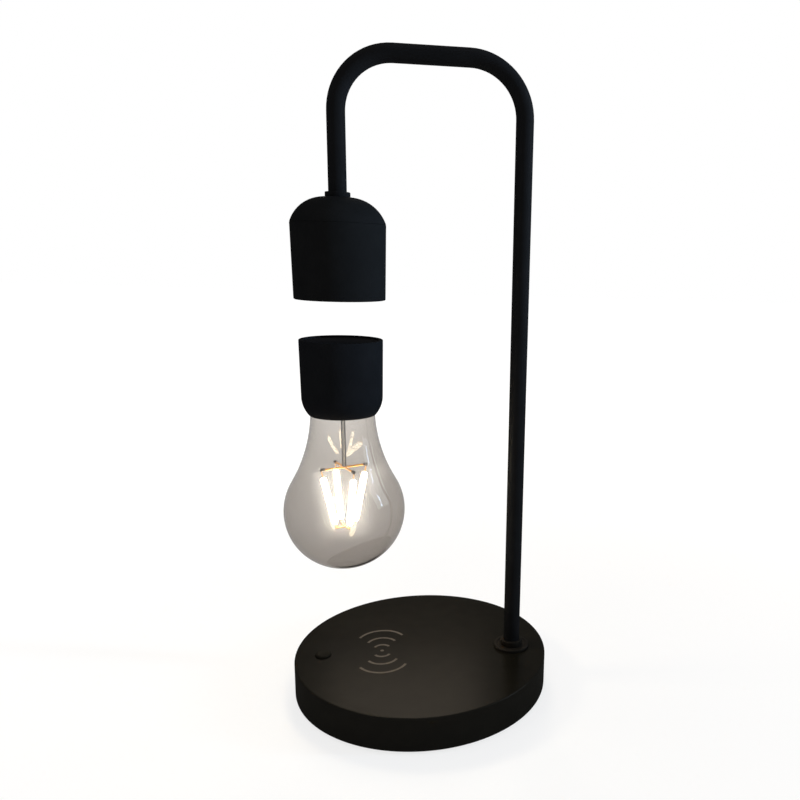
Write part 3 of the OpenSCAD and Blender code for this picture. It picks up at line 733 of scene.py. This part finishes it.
CAP_BLACK = Coating(
    "cap_black", (0.0065, 0.0070, 0.0082), (0.0080, 0.0085, 0.0098), (0.48, 0.58),
    grain_size=0.3 * MM, grain_depth=0.006 * MM, gloss=0.0, coat=0.004, coat_rough=0.5, coat_index=2.5)
BUTTON_BLACK = Coating(
    "button_black", (0.0074, 0.0066, 0.0048), (0.0092, 0.0083, 0.0062), (0.5, 0.6),
    gloss=0.0, coat=0.024, coat_rough=0.26)
LID_BLACK = Coating(
    "lid_black", (0.0056, 0.0062, 0.0078), (0.0070, 0.0077, 0.0096), (0.6, 0.7),
    grain_size=0.3 * MM, grain_depth=0.006 * MM, gloss=0.0, coat=0.006, coat_rough=0.5)
MAGNET_NICKEL = Coating(
    "magnet_nickel", (0.62, 0.6, 0.56), (0.7, 0.68, 0.63), (0.12, 0.22),
    Grain.PEEL, 0.8 * MM, 0.004 * MM, metallic=1.0)
LEAD_METAL = Coating(
    "lead_metal", (0.018, 0.016, 0.015), (0.032, 0.028, 0.026), (0.4, 0.55),
    Grain.DRAWN, 0.1 * MM, 0.004 * MM, gloss=0.3, metallic=0.5)
SPIDER_GOLD = Coating(
    "spider_gold", (0.68, 0.31, 0.05), (0.78, 0.4, 0.09), (0.3, 0.42),
    Grain.DRAWN, 0.12 * MM, 0.004 * MM, metallic=1.0)
TIP_DARK = Coating(
    "tip_dark", (0.03, 0.022, 0.015), (0.05, 0.037, 0.026), (0.4, 0.55),
    grain_size=0.15 * MM, metallic=0.6)
# The stem's glass darkens towards its edge: painted shade
STEM_GLASS = BlownGlass(
    "stem_glass", (0.72, 0.71, 0.69), (0.72, 0.71, 0.69), (0.3, 0.29, 0.28), low=0.1, top=0.2,
    ripple_depth=0.004 * MM)
FILAMENT_GLOW = Phosphor("filament_glow", (0.9, 0.62, 0.2), (1.0, 0.86, 0.62), 120.0)


class Assembly:
    """Calls that the lamp's sub-assemblies share."""

    carried: dict[str, Finish] = {}

    def build(self) -> list[Piece]:
        """Builds the sub-assembly's own pieces."""
        return []

    def dress(self) -> None:
        """Gives each carried-over CAD node its finish."""
        for node, finish in self.carried.items():
            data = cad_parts[node].data
            data.materials.clear()
            data.materials.append(finish.material())
            log.info("dressed %s in %s", node, finish.name)

    def assemble(self) -> None:
        """Builds and dresses the sub-assembly, and reports each piece."""
        for made in self.build():
            log.info("built %s with %d faces", made.name, len(made.data.polygons))
        self.dress()


@dataclass
class Base(Assembly):
    """Round charging base: cover, charging mark, button, pad, plate and electronics."""

    pad_edge: float = 0.4 * MM
    pad_groove_count: int = 6
    pad_groove_first: float = 20 * MM
    pad_groove_pitch: float = 6.5 * MM
    pad_groove_width: float = 2 * MM
    pad_groove_depth: float = 0.5 * MM
    button_radius: float = 4 * MM
    button_edge: float = 1.1 * MM
    button_lip_height: float = 1 * MM
    button_stem_radius: float = 1.5 * MM
    button_stem_height: float = 0.6 * MM
    dish_depth: float = 0.25 * MM
    # Share of the button's radius, and of the dish's depth, at the knee of the dish
    dish_knee: float = 0.6
    carried = {
        "base_cover": BASE_BLACK, "charging_mark": MARK_PRINT, "bottom_plate": PLATE_BLACK,
        "bottom_screws": STEEL, "ballast_plate": STEEL, "main_board": BOARD_GREEN, "board_screws": STEEL,
        "board_chips": CHIP_BLACK, "board_inductors": FERRITE, "board_capacitors": CAPACITOR_CAN,
        "cable_header": NYLON, "power_jack": SOCKET_BLACK, "jack_pin": CONTACT_METAL,
        "power_leads": WIRE_JACKET, "switch_body": CHIP_BLACK, "charging_coil": COPPER_FLAT,
        "coil_ferrite": FERRITE, "coil_leads": COPPER, "switch_plunger": NYLON,
    }

    def build(self) -> list[Piece]:
        """Builds the grooved pad and the button."""
        return [self.pad(), self.button()]

    def pad(self) -> Piece:
        """Builds the anti-slip pad with rings of grooves in its underside.

        Returns:
            The pad.
        """
        node = Bounds.of("anti_slip_pad")
        floor = node.low + self.pad_groove_depth
        corners: list[Corner] = [(0, node.low, 0)]
        for i in range(self.pad_groove_count):
            inner = self.pad_groove_first + i * self.pad_groove_pitch
            outer = inner + self.pad_groove_width
            corners += [(inner, node.low, 0), (inner, floor, 0), (outer, floor, 0), (outer, node.low, 0)]
        corners += [(node.radius, node.low, self.pad_edge), (node.radius, node.top, 0), (0, node.top, 0)]
        sketch = Sketch().solid(corners, node.axis)
        return sketch.piece("grooved_pad", Body.FRAME, PAD_RUBBER, "pad_rubber", "anti_slip_pad")

    def button(self) -> Piece:
        """Builds the push button with its dished top, its lip and its stem.

        Returns:
            The button.
        """
        node = Bounds.of("button_cap")
        lip_low = node.low + self.button_stem_height
        lip_top = lip_low + self.button_lip_height
        knee = (self.button_radius * self.dish_knee, node.top - self.dish_depth * self.dish_knee)
        corners = [
            (0, node.low, 0), (self.button_stem_radius, node.low, 0), (self.button_stem_radius, lip_low, 0),
            (node.radius, lip_low, 0), (node.radius, lip_top, 0), (self.button_radius, lip_top, 0),
            (self.button_radius, node.top, self.button_edge), (*knee, self.button_radius),
            (0, node.top - self.dish_depth, 0),
        ]
        sketch = Sketch().solid(corners, node.axis)
        return sketch.piece("push_button", Body.BUTTON, BUTTON_BLACK, "button_black", "button_cap")


@dataclass
class Arm(Assembly):
    """Bent tube with its flange, collars, nuts and cable."""

    tube_gap: float = 0.05 * MM
    flange_edge: float = 0.5 * MM
    flange_step: float = 0.3 * MM
    flange_rim: float = 1.6 * MM
    collar_edge: float = 0.4 * MM
    foot_edge: float = 0.15 * MM
    carried = {
        "arm_tube": TUBE_BLACK, "lamp_cable": CABLE_BLACK, "post_washer": STEEL, "post_nut": STEEL,
        "head_nut": STEEL,
    }

    def build(self) -> list[Piece]:
        """Builds the flange and the two collars.

        Returns:
            The pieces.
        """
        return [
            # The post collar wears the copy with painted warm light, and the head collar wears the tube's
            # black
            self.flange(), self.collar("post_collar", "post_ring", FITTING_BLACK_PAINTED_WARM_LIGHT),
            self.collar("head_collar", "head_ring", TUBE_BLACK),
        ]

    @property
    def bore(self) -> float:
        """Radius of the bores on the tube."""
        return Bounds.of("arm_tube").radius + self.tube_gap

    def flange(self) -> Piece:
        """Builds the flange, with a low rim round its top.

        Returns:
            The flange.
        """
        node = Bounds.of("base_flange")
        hollow = node.top - self.flange_step
        inside = node.radius - self.flange_rim
        corners = [
            (self.bore, node.low, 0), (node.radius, node.low, self.foot_edge),
            (node.radius, node.top, self.flange_edge), (inside, node.top, self.foot_edge),
            (inside - self.flange_step, hollow, self.foot_edge), (self.bore, hollow, 0),
        ]
        sketch = Sketch().ring(corners, node.axis)
        return sketch.piece("post_flange", Body.FRAME, FITTING_BLACK_PAINTED_WARM_LIGHT, "fitting_black", "base_flange")

    def collar(self, node_name: str, name: str, finish: Finish) -> Piece:
        """Builds a collar on the tube.

        Args:
            node_name: CAD node that it stands for.
            name: Name of the piece.
            finish: Its finish.

        Returns:
            The collar.
        """
        node = Bounds.of(node_name)
        corners = [
            (self.bore, node.low, 0), (node.radius, node.low, self.foot_edge),
            (node.radius, node.top, self.collar_edge), (self.bore, node.top, self.foot_edge),
        ]
        return Sketch().ring(corners, node.axis).piece(name, Body.FRAME, finish, "fitting_black", node_name)


@dataclass
class Head(Assembly):
    """Magnet head: dome and sleeve with a seam between them, bottom cover and lifting magnet."""

    wall: float = 2 * MM
    dome_radius: float = 17 * MM
    seam_edge: float = 0.22 * MM
    lower_edge: float = 0.5 * MM
    lip_height: float = 3.5 * MM
    lip_wall: float = 1.5 * MM
    lip_gap: float = 0.17 * MM
    tube_bore: float = 4.3 * MM
    cover_edge: float = 0.35 * MM
    cover_groove: float = 0.4 * MM
    cover_groove_radius: float = 13 * MM
    carried = {
        "power_coil": COPPER_FLAT, "hall_board": BOARD_GREEN, "hall_sensor": CHIP_BLACK,
        "lift_bobbin": NYLON, "lift_core": STEEL, "lift_coil": COPPER, "bias_magnet": MAGNET_NICKEL,
        "head_board": BOARD_GREEN, "head_header": NYLON, "link_wires": WIRE_JACKET,
    }

    def build(self) -> list[Piece]:
        """Builds the dome, the sleeve and the bottom cover."""
        return [self.dome(), self.sleeve(), self.cover()]

    def dome(self) -> Piece:
        """Builds the dome, with its lip inside the sleeve.

        Returns:
            The dome.
        """
        node = Bounds.of("head_dome")
        seam = Bounds.of("head_sleeve").top
        middle_z = node.top - self.dome_radius
        rise = math.degrees(math.asin((seam - middle_z) / self.dome_radius))
        middle = (node.radius - self.dome_radius * math.cos(math.radians(rise)), middle_z)
        seam_turn = math.degrees(self.seam_edge / self.dome_radius)
        inside = self.dome_radius - self.wall
        inner_rise = math.degrees(math.asin((seam - middle_z) / inside))
        lip_out = node.radius - self.wall - self.lip_gap
        lip_low = seam - self.lip_height
        section = [(self.tube_bore, node.top - self.wall), (self.tube_bore, node.top)]
        section += arc(middle, self.dome_radius, 90, rise + seam_turn)
        section += [(node.radius - self.seam_edge, seam), (lip_out, seam), (lip_out, lip_low)]
        section += [(lip_out - self.lip_wall, lip_low)]
        section += arc(middle, inside, inner_rise, 90)
        sketch = Sketch().turn(section, node.axis)
        return sketch.piece("domed_top", Body.FRAME, HEAD_BLACK, "head_black", "head_dome")

    def sleeve(self) -> Piece:
        """Builds the tapered sleeve, with a small bevel at the seam.

        Returns:
            The sleeve.
        """
        node = Bounds.of("head_sleeve")
        low_radius = Bounds.of("head_bottom_cover").radius + self.wall + self.lip_gap / 2
        corners = [
            (low_radius - self.wall, node.low, self.lower_edge / 2), (low_radius, node.low, self.lower_edge),
            (node.radius, node.top, self.seam_edge), (node.radius - self.wall, node.top, 0),
        ]
        sketch = Sketch().ring(corners, node.axis)
        return sketch.piece("tapered_sleeve", Body.FRAME, HEAD_BLACK, "head_black", "head_sleeve")

    def cover(self) -> Piece:
        """Builds the bottom cover, with a groove round its middle.

        Returns:
            The cover.
        """
        node = Bounds.of("head_bottom_cover")
        corners = [
            (0, node.low, 0), *groove(self.cover_groove_radius, node.low, self.cover_groove),
            (node.radius, node.low, self.cover_edge), (node.radius, node.top, 0), (0, node.top, 0),
        ]
        sketch = Sketch().solid(corners, node.axis)
        return sketch.piece("lower_cover", Body.FRAME, HEAD_BLACK, "head_black", "head_bottom_cover")


@dataclass
class FloatingCap(Assembly):
    """Cap over the bulb: shell, lid, floating magnet, pickup coil and receiver."""

    low_radius: float = 19.6 * MM
    wall: float = 1.8 * MM
    rounding: float = 14 * MM
    rounding_height: float = 9.2 * MM
    shoulder_height: float = 6.2 * MM
    mouth_radius: float = 15.74 * MM
    rim_edge: float = 0.4 * MM
    lid_edge: float = 0.3 * MM
    lid_groove: float = 0.25 * MM
    lid_groove_radius: float = 15.6 * MM
    carried = {
        "float_magnet": MAGNET_NICKEL, "pickup_coil": COPPER_FLAT, "magnet_carrier": NYLON,
        "pickup_leads": WIRE_JACKET, "receiver_board": BOARD_GREEN, "receiver_parts": CHIP_BLACK,
        "bulb_holder": CHIP_BLACK,
    }

    def build(self) -> list[Piece]:
        """Builds the shell and the lid."""
        return [self.shell(), self.lid()]

    def shell(self) -> Piece:
        """Builds the cap's shell: a slight taper over a rounded lower end.

        Returns:
            The shell.
        """
        node = Bounds.of("bulb_cap")
        middle = (self.low_radius - self.rounding, node.low + self.rounding_height)
        start = -math.degrees(math.asin(self.rounding_height / self.rounding))
        inside = self.low_radius - self.wall
        shoulder = node.low + self.shoulder_height
        rim = rounded([
            (self.low_radius, middle[1], 0), (node.radius, node.top, self.rim_edge),
            (inside, node.top, self.rim_edge / 2), (inside, shoulder, 0),
        ], closed=False)
        section = arc(middle, self.rounding, start, 0) + rim[1:]
        section += [(self.mouth_radius, shoulder), (self.mouth_radius, node.low)]
        sketch = Sketch().turn(section, node.axis)
        return sketch.piece("cap_shell", Body.BULB, CAP_BLACK, "cap_black", "bulb_cap")

    def lid(self) -> Piece:
        """Builds the lid, with a fine groove near its edge.

        Returns:
            The lid.
        """
        node = Bounds.of("cap_lid")
        corners = [
            (0, node.low, 0), (node.radius, node.low, 0), (node.radius, node.top, self.lid_edge),
            *reversed(groove(self.lid_groove_radius, node.top, -self.lid_groove)), (0, node.top, 0),
        ]
        sketch = Sketch().solid(corners, node.axis)
        return sketch.piece("recessed_lid", Body.BULB, LID_BLACK, "cap_black", "cap_lid")


@dataclass
class Bulb(Assembly):
    """Glass bulb with its stem, wire crosses and filaments."""

    glass_wall: float = 1 * MM
    neck_radius: float = 15.5 * MM
    neck_curve: float = 76 * MM
    stem_radius: float = 0.65 * MM
    stem_gap: float = 0.05 * MM
    pinch_radius: float = 2.4 * MM
    pinch_height: float = 3 * MM
    flare_height: float = 10 * MM
    flare_wall: float = 0.9 * MM
    flare_fillet: float = 1.2 * MM
    lead_radius: float = 0.2 * MM
    lead_bow: float = 0.12 * MM
    lead_half_waves: int = 3
    lead_steps: int = 24
    wire_radius: float = 0.52 * MM
    hub_radius: float = 1.5 * MM
    lower_hub_radius: float = 1 * MM
    hub_height: float = 0.9 * MM
    # Fillet of a hub, as a share of half its height
    hub_rounding: float = 0.8
    cross_reach: float = 12 * MM
    lower_reach: float = 5 * MM
    tip_length: float = 2.4 * MM
    tip_radius: float = 0.85 * MM
    tip_past: float = 0.5 * MM
    pin_radius: float = 0.3 * MM
    pin_bite: float = 1 * MM
    upper_pin: float = 4 * MM
    lower_pin: float = 2 * MM
    filament_radius: float = 1.5 * MM
    filament_turn: float = math.radians(30)
    filament_count: int = 4
    # Tints of the glass are painted shade: lightest at the top, darker low down and darkest at the edge
    top_shade_tint: Colour = (0.870, 0.857, 0.838)
    low_shade_tint: Colour = (0.738, 0.715, 0.693)
    edge_shade_tint: Colour = (0.62, 0.605, 0.59)
    # Height over the glass's lowest point at which the top's tint is reached, in radii
    tint_reach: float = 2.6
    haze: float = 0.03
    node: Bounds = field(default_factory=lambda: Bounds.of("glass_bulb"))

    def build(self) -> list[Piece]:
        """Builds the glass, the stem and its leads, both crosses and the filaments.

        Returns:
            The pieces.
        """
        return [
            self.glass(), self.stem(), self.leads(), self.upper_cross(), self.tips(), self.pins(),
            self.filaments(), self.lower_cross(),
        ]

    def glass_side(self, inset: float) -> Section:
        """Draws one side of the glass, from its lowest point up to its neck.

        Args:
            inset: Distance from the outside.

        Returns:
            Points along that side.
        """
        reach = self.node.radius
        globe = (0.0, self.node.low + reach)
        touch = math.acos((self.neck_radius + self.neck_curve) / (reach + self.neck_curve))
        neck = (self.neck_radius + self.neck_curve, globe[1] + (reach + self.neck_curve) * math.sin(touch))
        angle = math.degrees(touch)
        side = arc(globe, reach - inset, -90, angle)
        side[0] = (0.0, side[0][1])
        return side + arc(neck, self.neck_curve + inset, 180 + angle, 180)[1:]

    def lit(self, made: Piece) -> Piece:
        """Lets light through a piece of glass, which then casts no shadow.

        Args:
            made: The piece.

        Returns:
            The same piece.
        """
        made.visible_shadow = False
        made.visible_diffuse = False
        return made

    def glass(self) -> Piece:
        """Builds the blown glass as a shell with a rounded neck rim.

        Returns:
            The glass.
        """
        node = self.node
        middle = (self.neck_radius - self.glass_wall / 2, node.top - self.glass_wall / 2)
        section = self.glass_side(0) + arc(middle, self.glass_wall / 2, 0, 180)
        section += reversed(self.glass_side(self.glass_wall))
        finish = BlownGlass(
            "bulb_glass", self.top_shade_tint, self.low_shade_tint, self.edge_shade_tint, low=node.low,
            top=node.low + self.tint_reach * node.radius, haze=self.haze)
        sketch = Sketch().turn(section, node.axis, closed=False)
        return self.lit(sketch.piece("blown_glass", Body.BULB, finish, "bulb_glass", "glass_bulb"))

    def stem(self) -> Piece:
        """Builds the flared glass stem and the rod that it draws out into.

        Returns:
            The stem.
        """
        node = Bounds.of("glass_stem")
        pinch = node.top - self.flare_height
        flare = self.neck_radius - self.glass_wall - self.stem_gap
        corners = [
            (0, node.low, 0), (self.stem_radius, node.low, self.stem_radius / 2),
            (self.stem_radius, pinch, self.flare_fillet), (self.pinch_radius, pinch, self.flare_fillet / 2),
            (flare, node.top - self.flare_wall, self.flare_wall / 2), (flare, node.top, self.flare_wall / 3),
            (flare - self.flare_wall, node.top, self.flare_wall / 3),
            (self.pinch_radius, pinch + self.pinch_height, self.flare_fillet),
            (0, pinch + self.pinch_height, 0),
        ]
        sketch = Sketch().solid(corners, node.axis)
        return self.lit(sketch.piece("flared_stem", Body.BULB, STEM_GLASS, "stem_glass", "glass_stem"))

    def leads(self) -> Piece:
        """Builds the two lead wires beside the rod, each with a slight bow.

        Returns:
            The leads.
        """
        low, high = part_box("lead_wires")
        side = (high.x - low.x) / 2 - self.lead_radius
        sketch = Sketch()
        for way in (-1, 1):
            path = []
            for i in range(self.lead_steps + 1):
                share = i / self.lead_steps
                bow = self.lead_bow * math.sin(math.pi * self.lead_half_waves * share)
                z = low.z + (high.z - low.z) * share
                path.append(Vector((self.node.x + way * side, self.node.y + way * bow, z)))
            sketch.wire(path, self.lead_radius)
        return sketch.piece("stem_leads", Body.BULB, LEAD_METAL, "lead_metal", "lead_wires")

    def spokes(self) -> list[Vector]:
        """Gives the direction of each filament from the bulb's axis."""
        turns = [self.filament_turn + math.tau * i / self.filament_count for i in range(self.filament_count)]
        return [Vector((math.cos(turn), math.sin(turn), 0)) for turn in turns]

    def middle(self, node_name: str) -> Vector:
        """Gives the point of the bulb's axis halfway up a CAD node."""
        node = Bounds.of(node_name)
        return Vector((self.node.x, self.node.y, (node.low + node.top) / 2))

    def cross(self, name: str, node_name: str, reach: float, radius: float) -> Piece:
        """Builds a cross of wires about a rounded hub.

        Args:
            name: Name of the piece.
            node_name: CAD node that it stands for.
            reach: Reach of its wires.
            radius: Radius of its hub.

        Returns:
            The cross.
        """
        middle = self.middle(node_name)
        half = self.hub_height / 2
        edge = half * self.hub_rounding
        low, top = middle.z - half, middle.z + half
        corners = [(0, low, 0), (radius, low, edge), (radius, top, edge), (0, top, 0)]
        sketch = Sketch().solid(corners, self.node.axis)
        for spoke in self.spokes():
            sketch.wire([middle, middle + spoke * reach / 2, middle + spoke * reach], self.wire_radius)
        return sketch.piece(name, Body.BULB, SPIDER_GOLD, "spider_gold", node_name)

    def upper_cross(self) -> Piece:
        """Builds the upper cross."""
        return self.cross("wire_cross", "upper_spider", self.cross_reach, self.hub_radius)

    def lower_cross(self) -> Piece:
        """Builds the lower cross, whose wires reach just past the pins."""
        reach = self.lower_reach + 2 * self.pin_radius
        return self.cross("lower_cross", "lower_spider", reach, self.lower_hub_radius)

    def tips(self) -> Piece:
        """Builds the dark crimps on the ends of the upper cross.

        Returns:
            The crimps.
        """
        sketch = Sketch()
        inner = self.cross_reach + self.tip_past - self.tip_length
        for spoke in self.spokes():
            start = self.middle("upper_spider") + spoke * inner
            sketch.loft([
                (start + spoke * (self.tip_length * share), self.tip_radius * width)
                for share, width in CRIMP_SHAPE])
        return sketch.piece("cross_tips", Body.BULB, TIP_DARK, "tip_dark", "spider_tips")

    def filament_lines(self) -> list[tuple[Vector, Vector, Vector]]:
        """Gives where each filament hangs.

        Returns:
            Lower hanging point, upper one and upward direction of each filament.
        """
        lines = []
        for spoke in self.spokes():
            lower = self.middle("lower_spider") + spoke * self.lower_reach
            upper = self.middle("upper_spider") + spoke * self.cross_reach
            lines.append((lower, upper, (upper - lower).normalized()))
        return lines

    def pins(self) -> Piece:
        """Builds the bare pins at both ends of each filament.

        Returns:
            The pins.
        """
        sketch = Sketch()
        for lower, upper, along in self.filament_lines():
            sketch.rod(lower, lower + along * (self.lower_pin + self.pin_bite), self.pin_radius)
            sketch.rod(upper - along * (self.upper_pin + self.pin_bite), upper, self.pin_radius)
        return sketch.piece("bare_pins", Body.BULB, SPIDER_GOLD, "spider_gold", "filament_pins")

    def filaments(self) -> Piece:
        """Builds the glowing filaments, each a coated rod with rounded ends.

        Returns:
            The filaments.
        """
        sketch = Sketch()
        for lower, upper, along in self.filament_lines():
            sketch.rod(lower + along * self.lower_pin, upper - along * self.upper_pin, self.filament_radius)
        return sketch.piece("coated_filaments", Body.BULB, FILAMENT_GLOW, "filament_glow", "led_filaments")


@dataclass(frozen=True)
class SoftLight:
    """Soft rectangular light that the camera doesn't see."""

    name: str
    at: Place
    size: Point
    watts: float
    colour: Colour
    aim: Place = (-0.01, 0.0, 0.16)
    spread: float = math.pi
    on_matt: bool = True
    on_gloss: bool = True
    through_glass: bool = False

    def hang(self) -> None:
        """Hangs the light, facing its aim."""
        data = bpy.data.lights.new(self.name, "AREA")
        data.shape = "RECTANGLE"
        data.size, data.size_y = self.size
        data.energy = self.watts
        data.color = self.colour
        data.spread = self.spread
        made = placed(self.name, data)
        made.location = self.at
        made.rotation_euler = (Vector(self.aim) - Vector(self.at)).to_track_quat("-Z", "Y").to_euler()
        made.visible_camera = False
        made.visible_diffuse = self.on_matt
        made.visible_glossy = self.on_gloss
        made.visible_transmission = self.through_glass


@dataclass
class Studio:
    """Pale floor, white surround and soft lights."""

    floor_half: float = 4.0
    floor_tone: float = 0.9
    floor_lift: float = 0.75
    near_glow: float = 1.03
    far_glow: float = 1.26
    near: float = 0.1
    far: float = 0.6
    ambient: float = 0.31
    window_at: Place = (0.78, -0.12, 0.36)
    window_colour: Colour = (0.55, 0.76, 1.0)

    @property
    def lights(self) -> list[SoftLight]:
        """Window, its narrow pane that also shows in gloss and glass, and three wider lights.

        Returns:
            The lights.
        """
        return [
            SoftLight(
                "window", self.window_at, size=(0.04, 0.26), watts=0.95, colour=self.window_colour,
                aim=(-0.01, 0.0, 0.33), spread=math.radians(54), on_gloss=False),
            SoftLight(
                "pane", self.window_at, size=(0.02, 0.3), watts=0.5, colour=self.window_colour,
                through_glass=True),
            SoftLight(
                "panel", (0.8, -0.02, 0.5), size=(0.6, 0.7), watts=3.5, colour=(0.86, 0.94, 1.0),
                on_matt=False),
            SoftLight("ceiling", (-0.1, -0.1, 1.3), size=(0.9, 0.9), watts=3.5, colour=(1.0, 0.97, 0.92)),
            SoftLight("rear", (-0.06, 0.9, 0.85), size=(0.3, 0.55), watts=5.4, colour=(1.0, 0.85, 0.68)),
        ]

    def surround(self) -> None:
        """Sets the world: white where it is seen, softer where it lights the lamp."""
        world = bpy.data.worlds.new("surround")
        bpy.context.scene.world = world
        world.use_nodes = True
        nodes = Nodes(world.node_tree)
        backdrop = world.node_tree.nodes["Background"].inputs
        nodes.put(WHITE, backdrop["Color"])
        nodes.put(nodes.spread(nodes.seen(), self.ambient, 1, (0, 1)), backdrop["Strength"])

    def floor(self) -> None:
        """Lays the pale floor, lifted towards white where it is seen, with the lamp's soft shadow."""
        shader = Shader("pale_floor")
        matt = shader.node("BsdfDiffuse", Color=(self.floor_tone,) * 3 + (1,))
        distance = shader.node("VectorMath")
        distance.operation = "LENGTH"
        shader.put(shader.place, distance.inputs[0])
        span = (self.near, self.far)
        level = shader.spread(distance.outputs["Value"], self.near_glow, self.far_glow, span)
        glow = shader.node("Emission", Strength=level)
        share = shader.maths("MULTIPLY", shader.seen(), self.floor_lift)
        shader.show(shader.mixed(share, matt, glow))
        half = self.floor_half
        corners = [(-half, -half, 0), (half, -half, 0), (half, half, 0), (-half, half, 0)]
        data = bpy.data.meshes.new("pale_floor")
        data.from_pydata(corners, [], [(0, 1, 2, 3)])
        data.materials.append(shader.material)
        made = placed("pale_floor", data)

    def set_up(self) -> None:
        """Sets up the surround, the floor and the lights."""
        bpy.context.scene.view_settings.view_transform = "Standard"
        self.surround()
        self.floor()
        for light in self.lights:
            light.hang()


@dataclass
class Viewpoint:
    """Camera at the photograph's place, with its picture cut out off centre as the photograph is."""

    place: Place = (12.15 * MM, -383.2 * MM, 226.36 * MM)
    turn: float = 0.11904
    dip: float = 0.22229
    roll: float = -0.03248
    picture: float = 800
    focal: float = 769.86
    centre: Point = (536.16, 430.0)
    sensor: float = 36.0
    nearest: float = 10 * MM

    def set_up(self) -> None:
        """Adds the camera and makes it the scene's own."""
        ahead = Vector((math.sin(self.turn) * math.cos(self.dip),
                        math.cos(self.turn) * math.cos(self.dip), -math.sin(self.dip)))
        level = Vector((math.cos(self.turn), -math.sin(self.turn), 0))
        down = ahead.cross(level)
        right = level * math.cos(self.roll) + down * math.sin(self.roll)
        up = level * math.sin(self.roll) - down * math.cos(self.roll)
        data = bpy.data.cameras.new("viewpoint")
        data.sensor_width = self.sensor
        data.lens = self.sensor * self.focal / self.picture
        data.shift_x = (self.picture / 2 - self.centre[0]) / self.picture
        data.shift_y = (self.centre[1] - self.picture / 2) / self.picture
        data.clip_start = self.nearest
        made = placed("viewpoint", data)
        rotation = Matrix((right, up, -ahead)).transposed()
        made.matrix_world = Matrix.Translation(self.place) @ rotation.to_4x4()
        bpy.context.scene.camera = made


def main() -> None:
    """Builds the lamp's sub-assemblies, the studio and the camera."""
    logging.basicConfig(level=logging.INFO, format="%(name)s: %(message)s")
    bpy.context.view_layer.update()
    for assembly in (Base(), Arm(), Head(), FloatingCap(), Bulb()):
        assembly.assemble()
    Studio().set_up()
    Viewpoint().set_up()


if __name__ == "__main__":
    main()
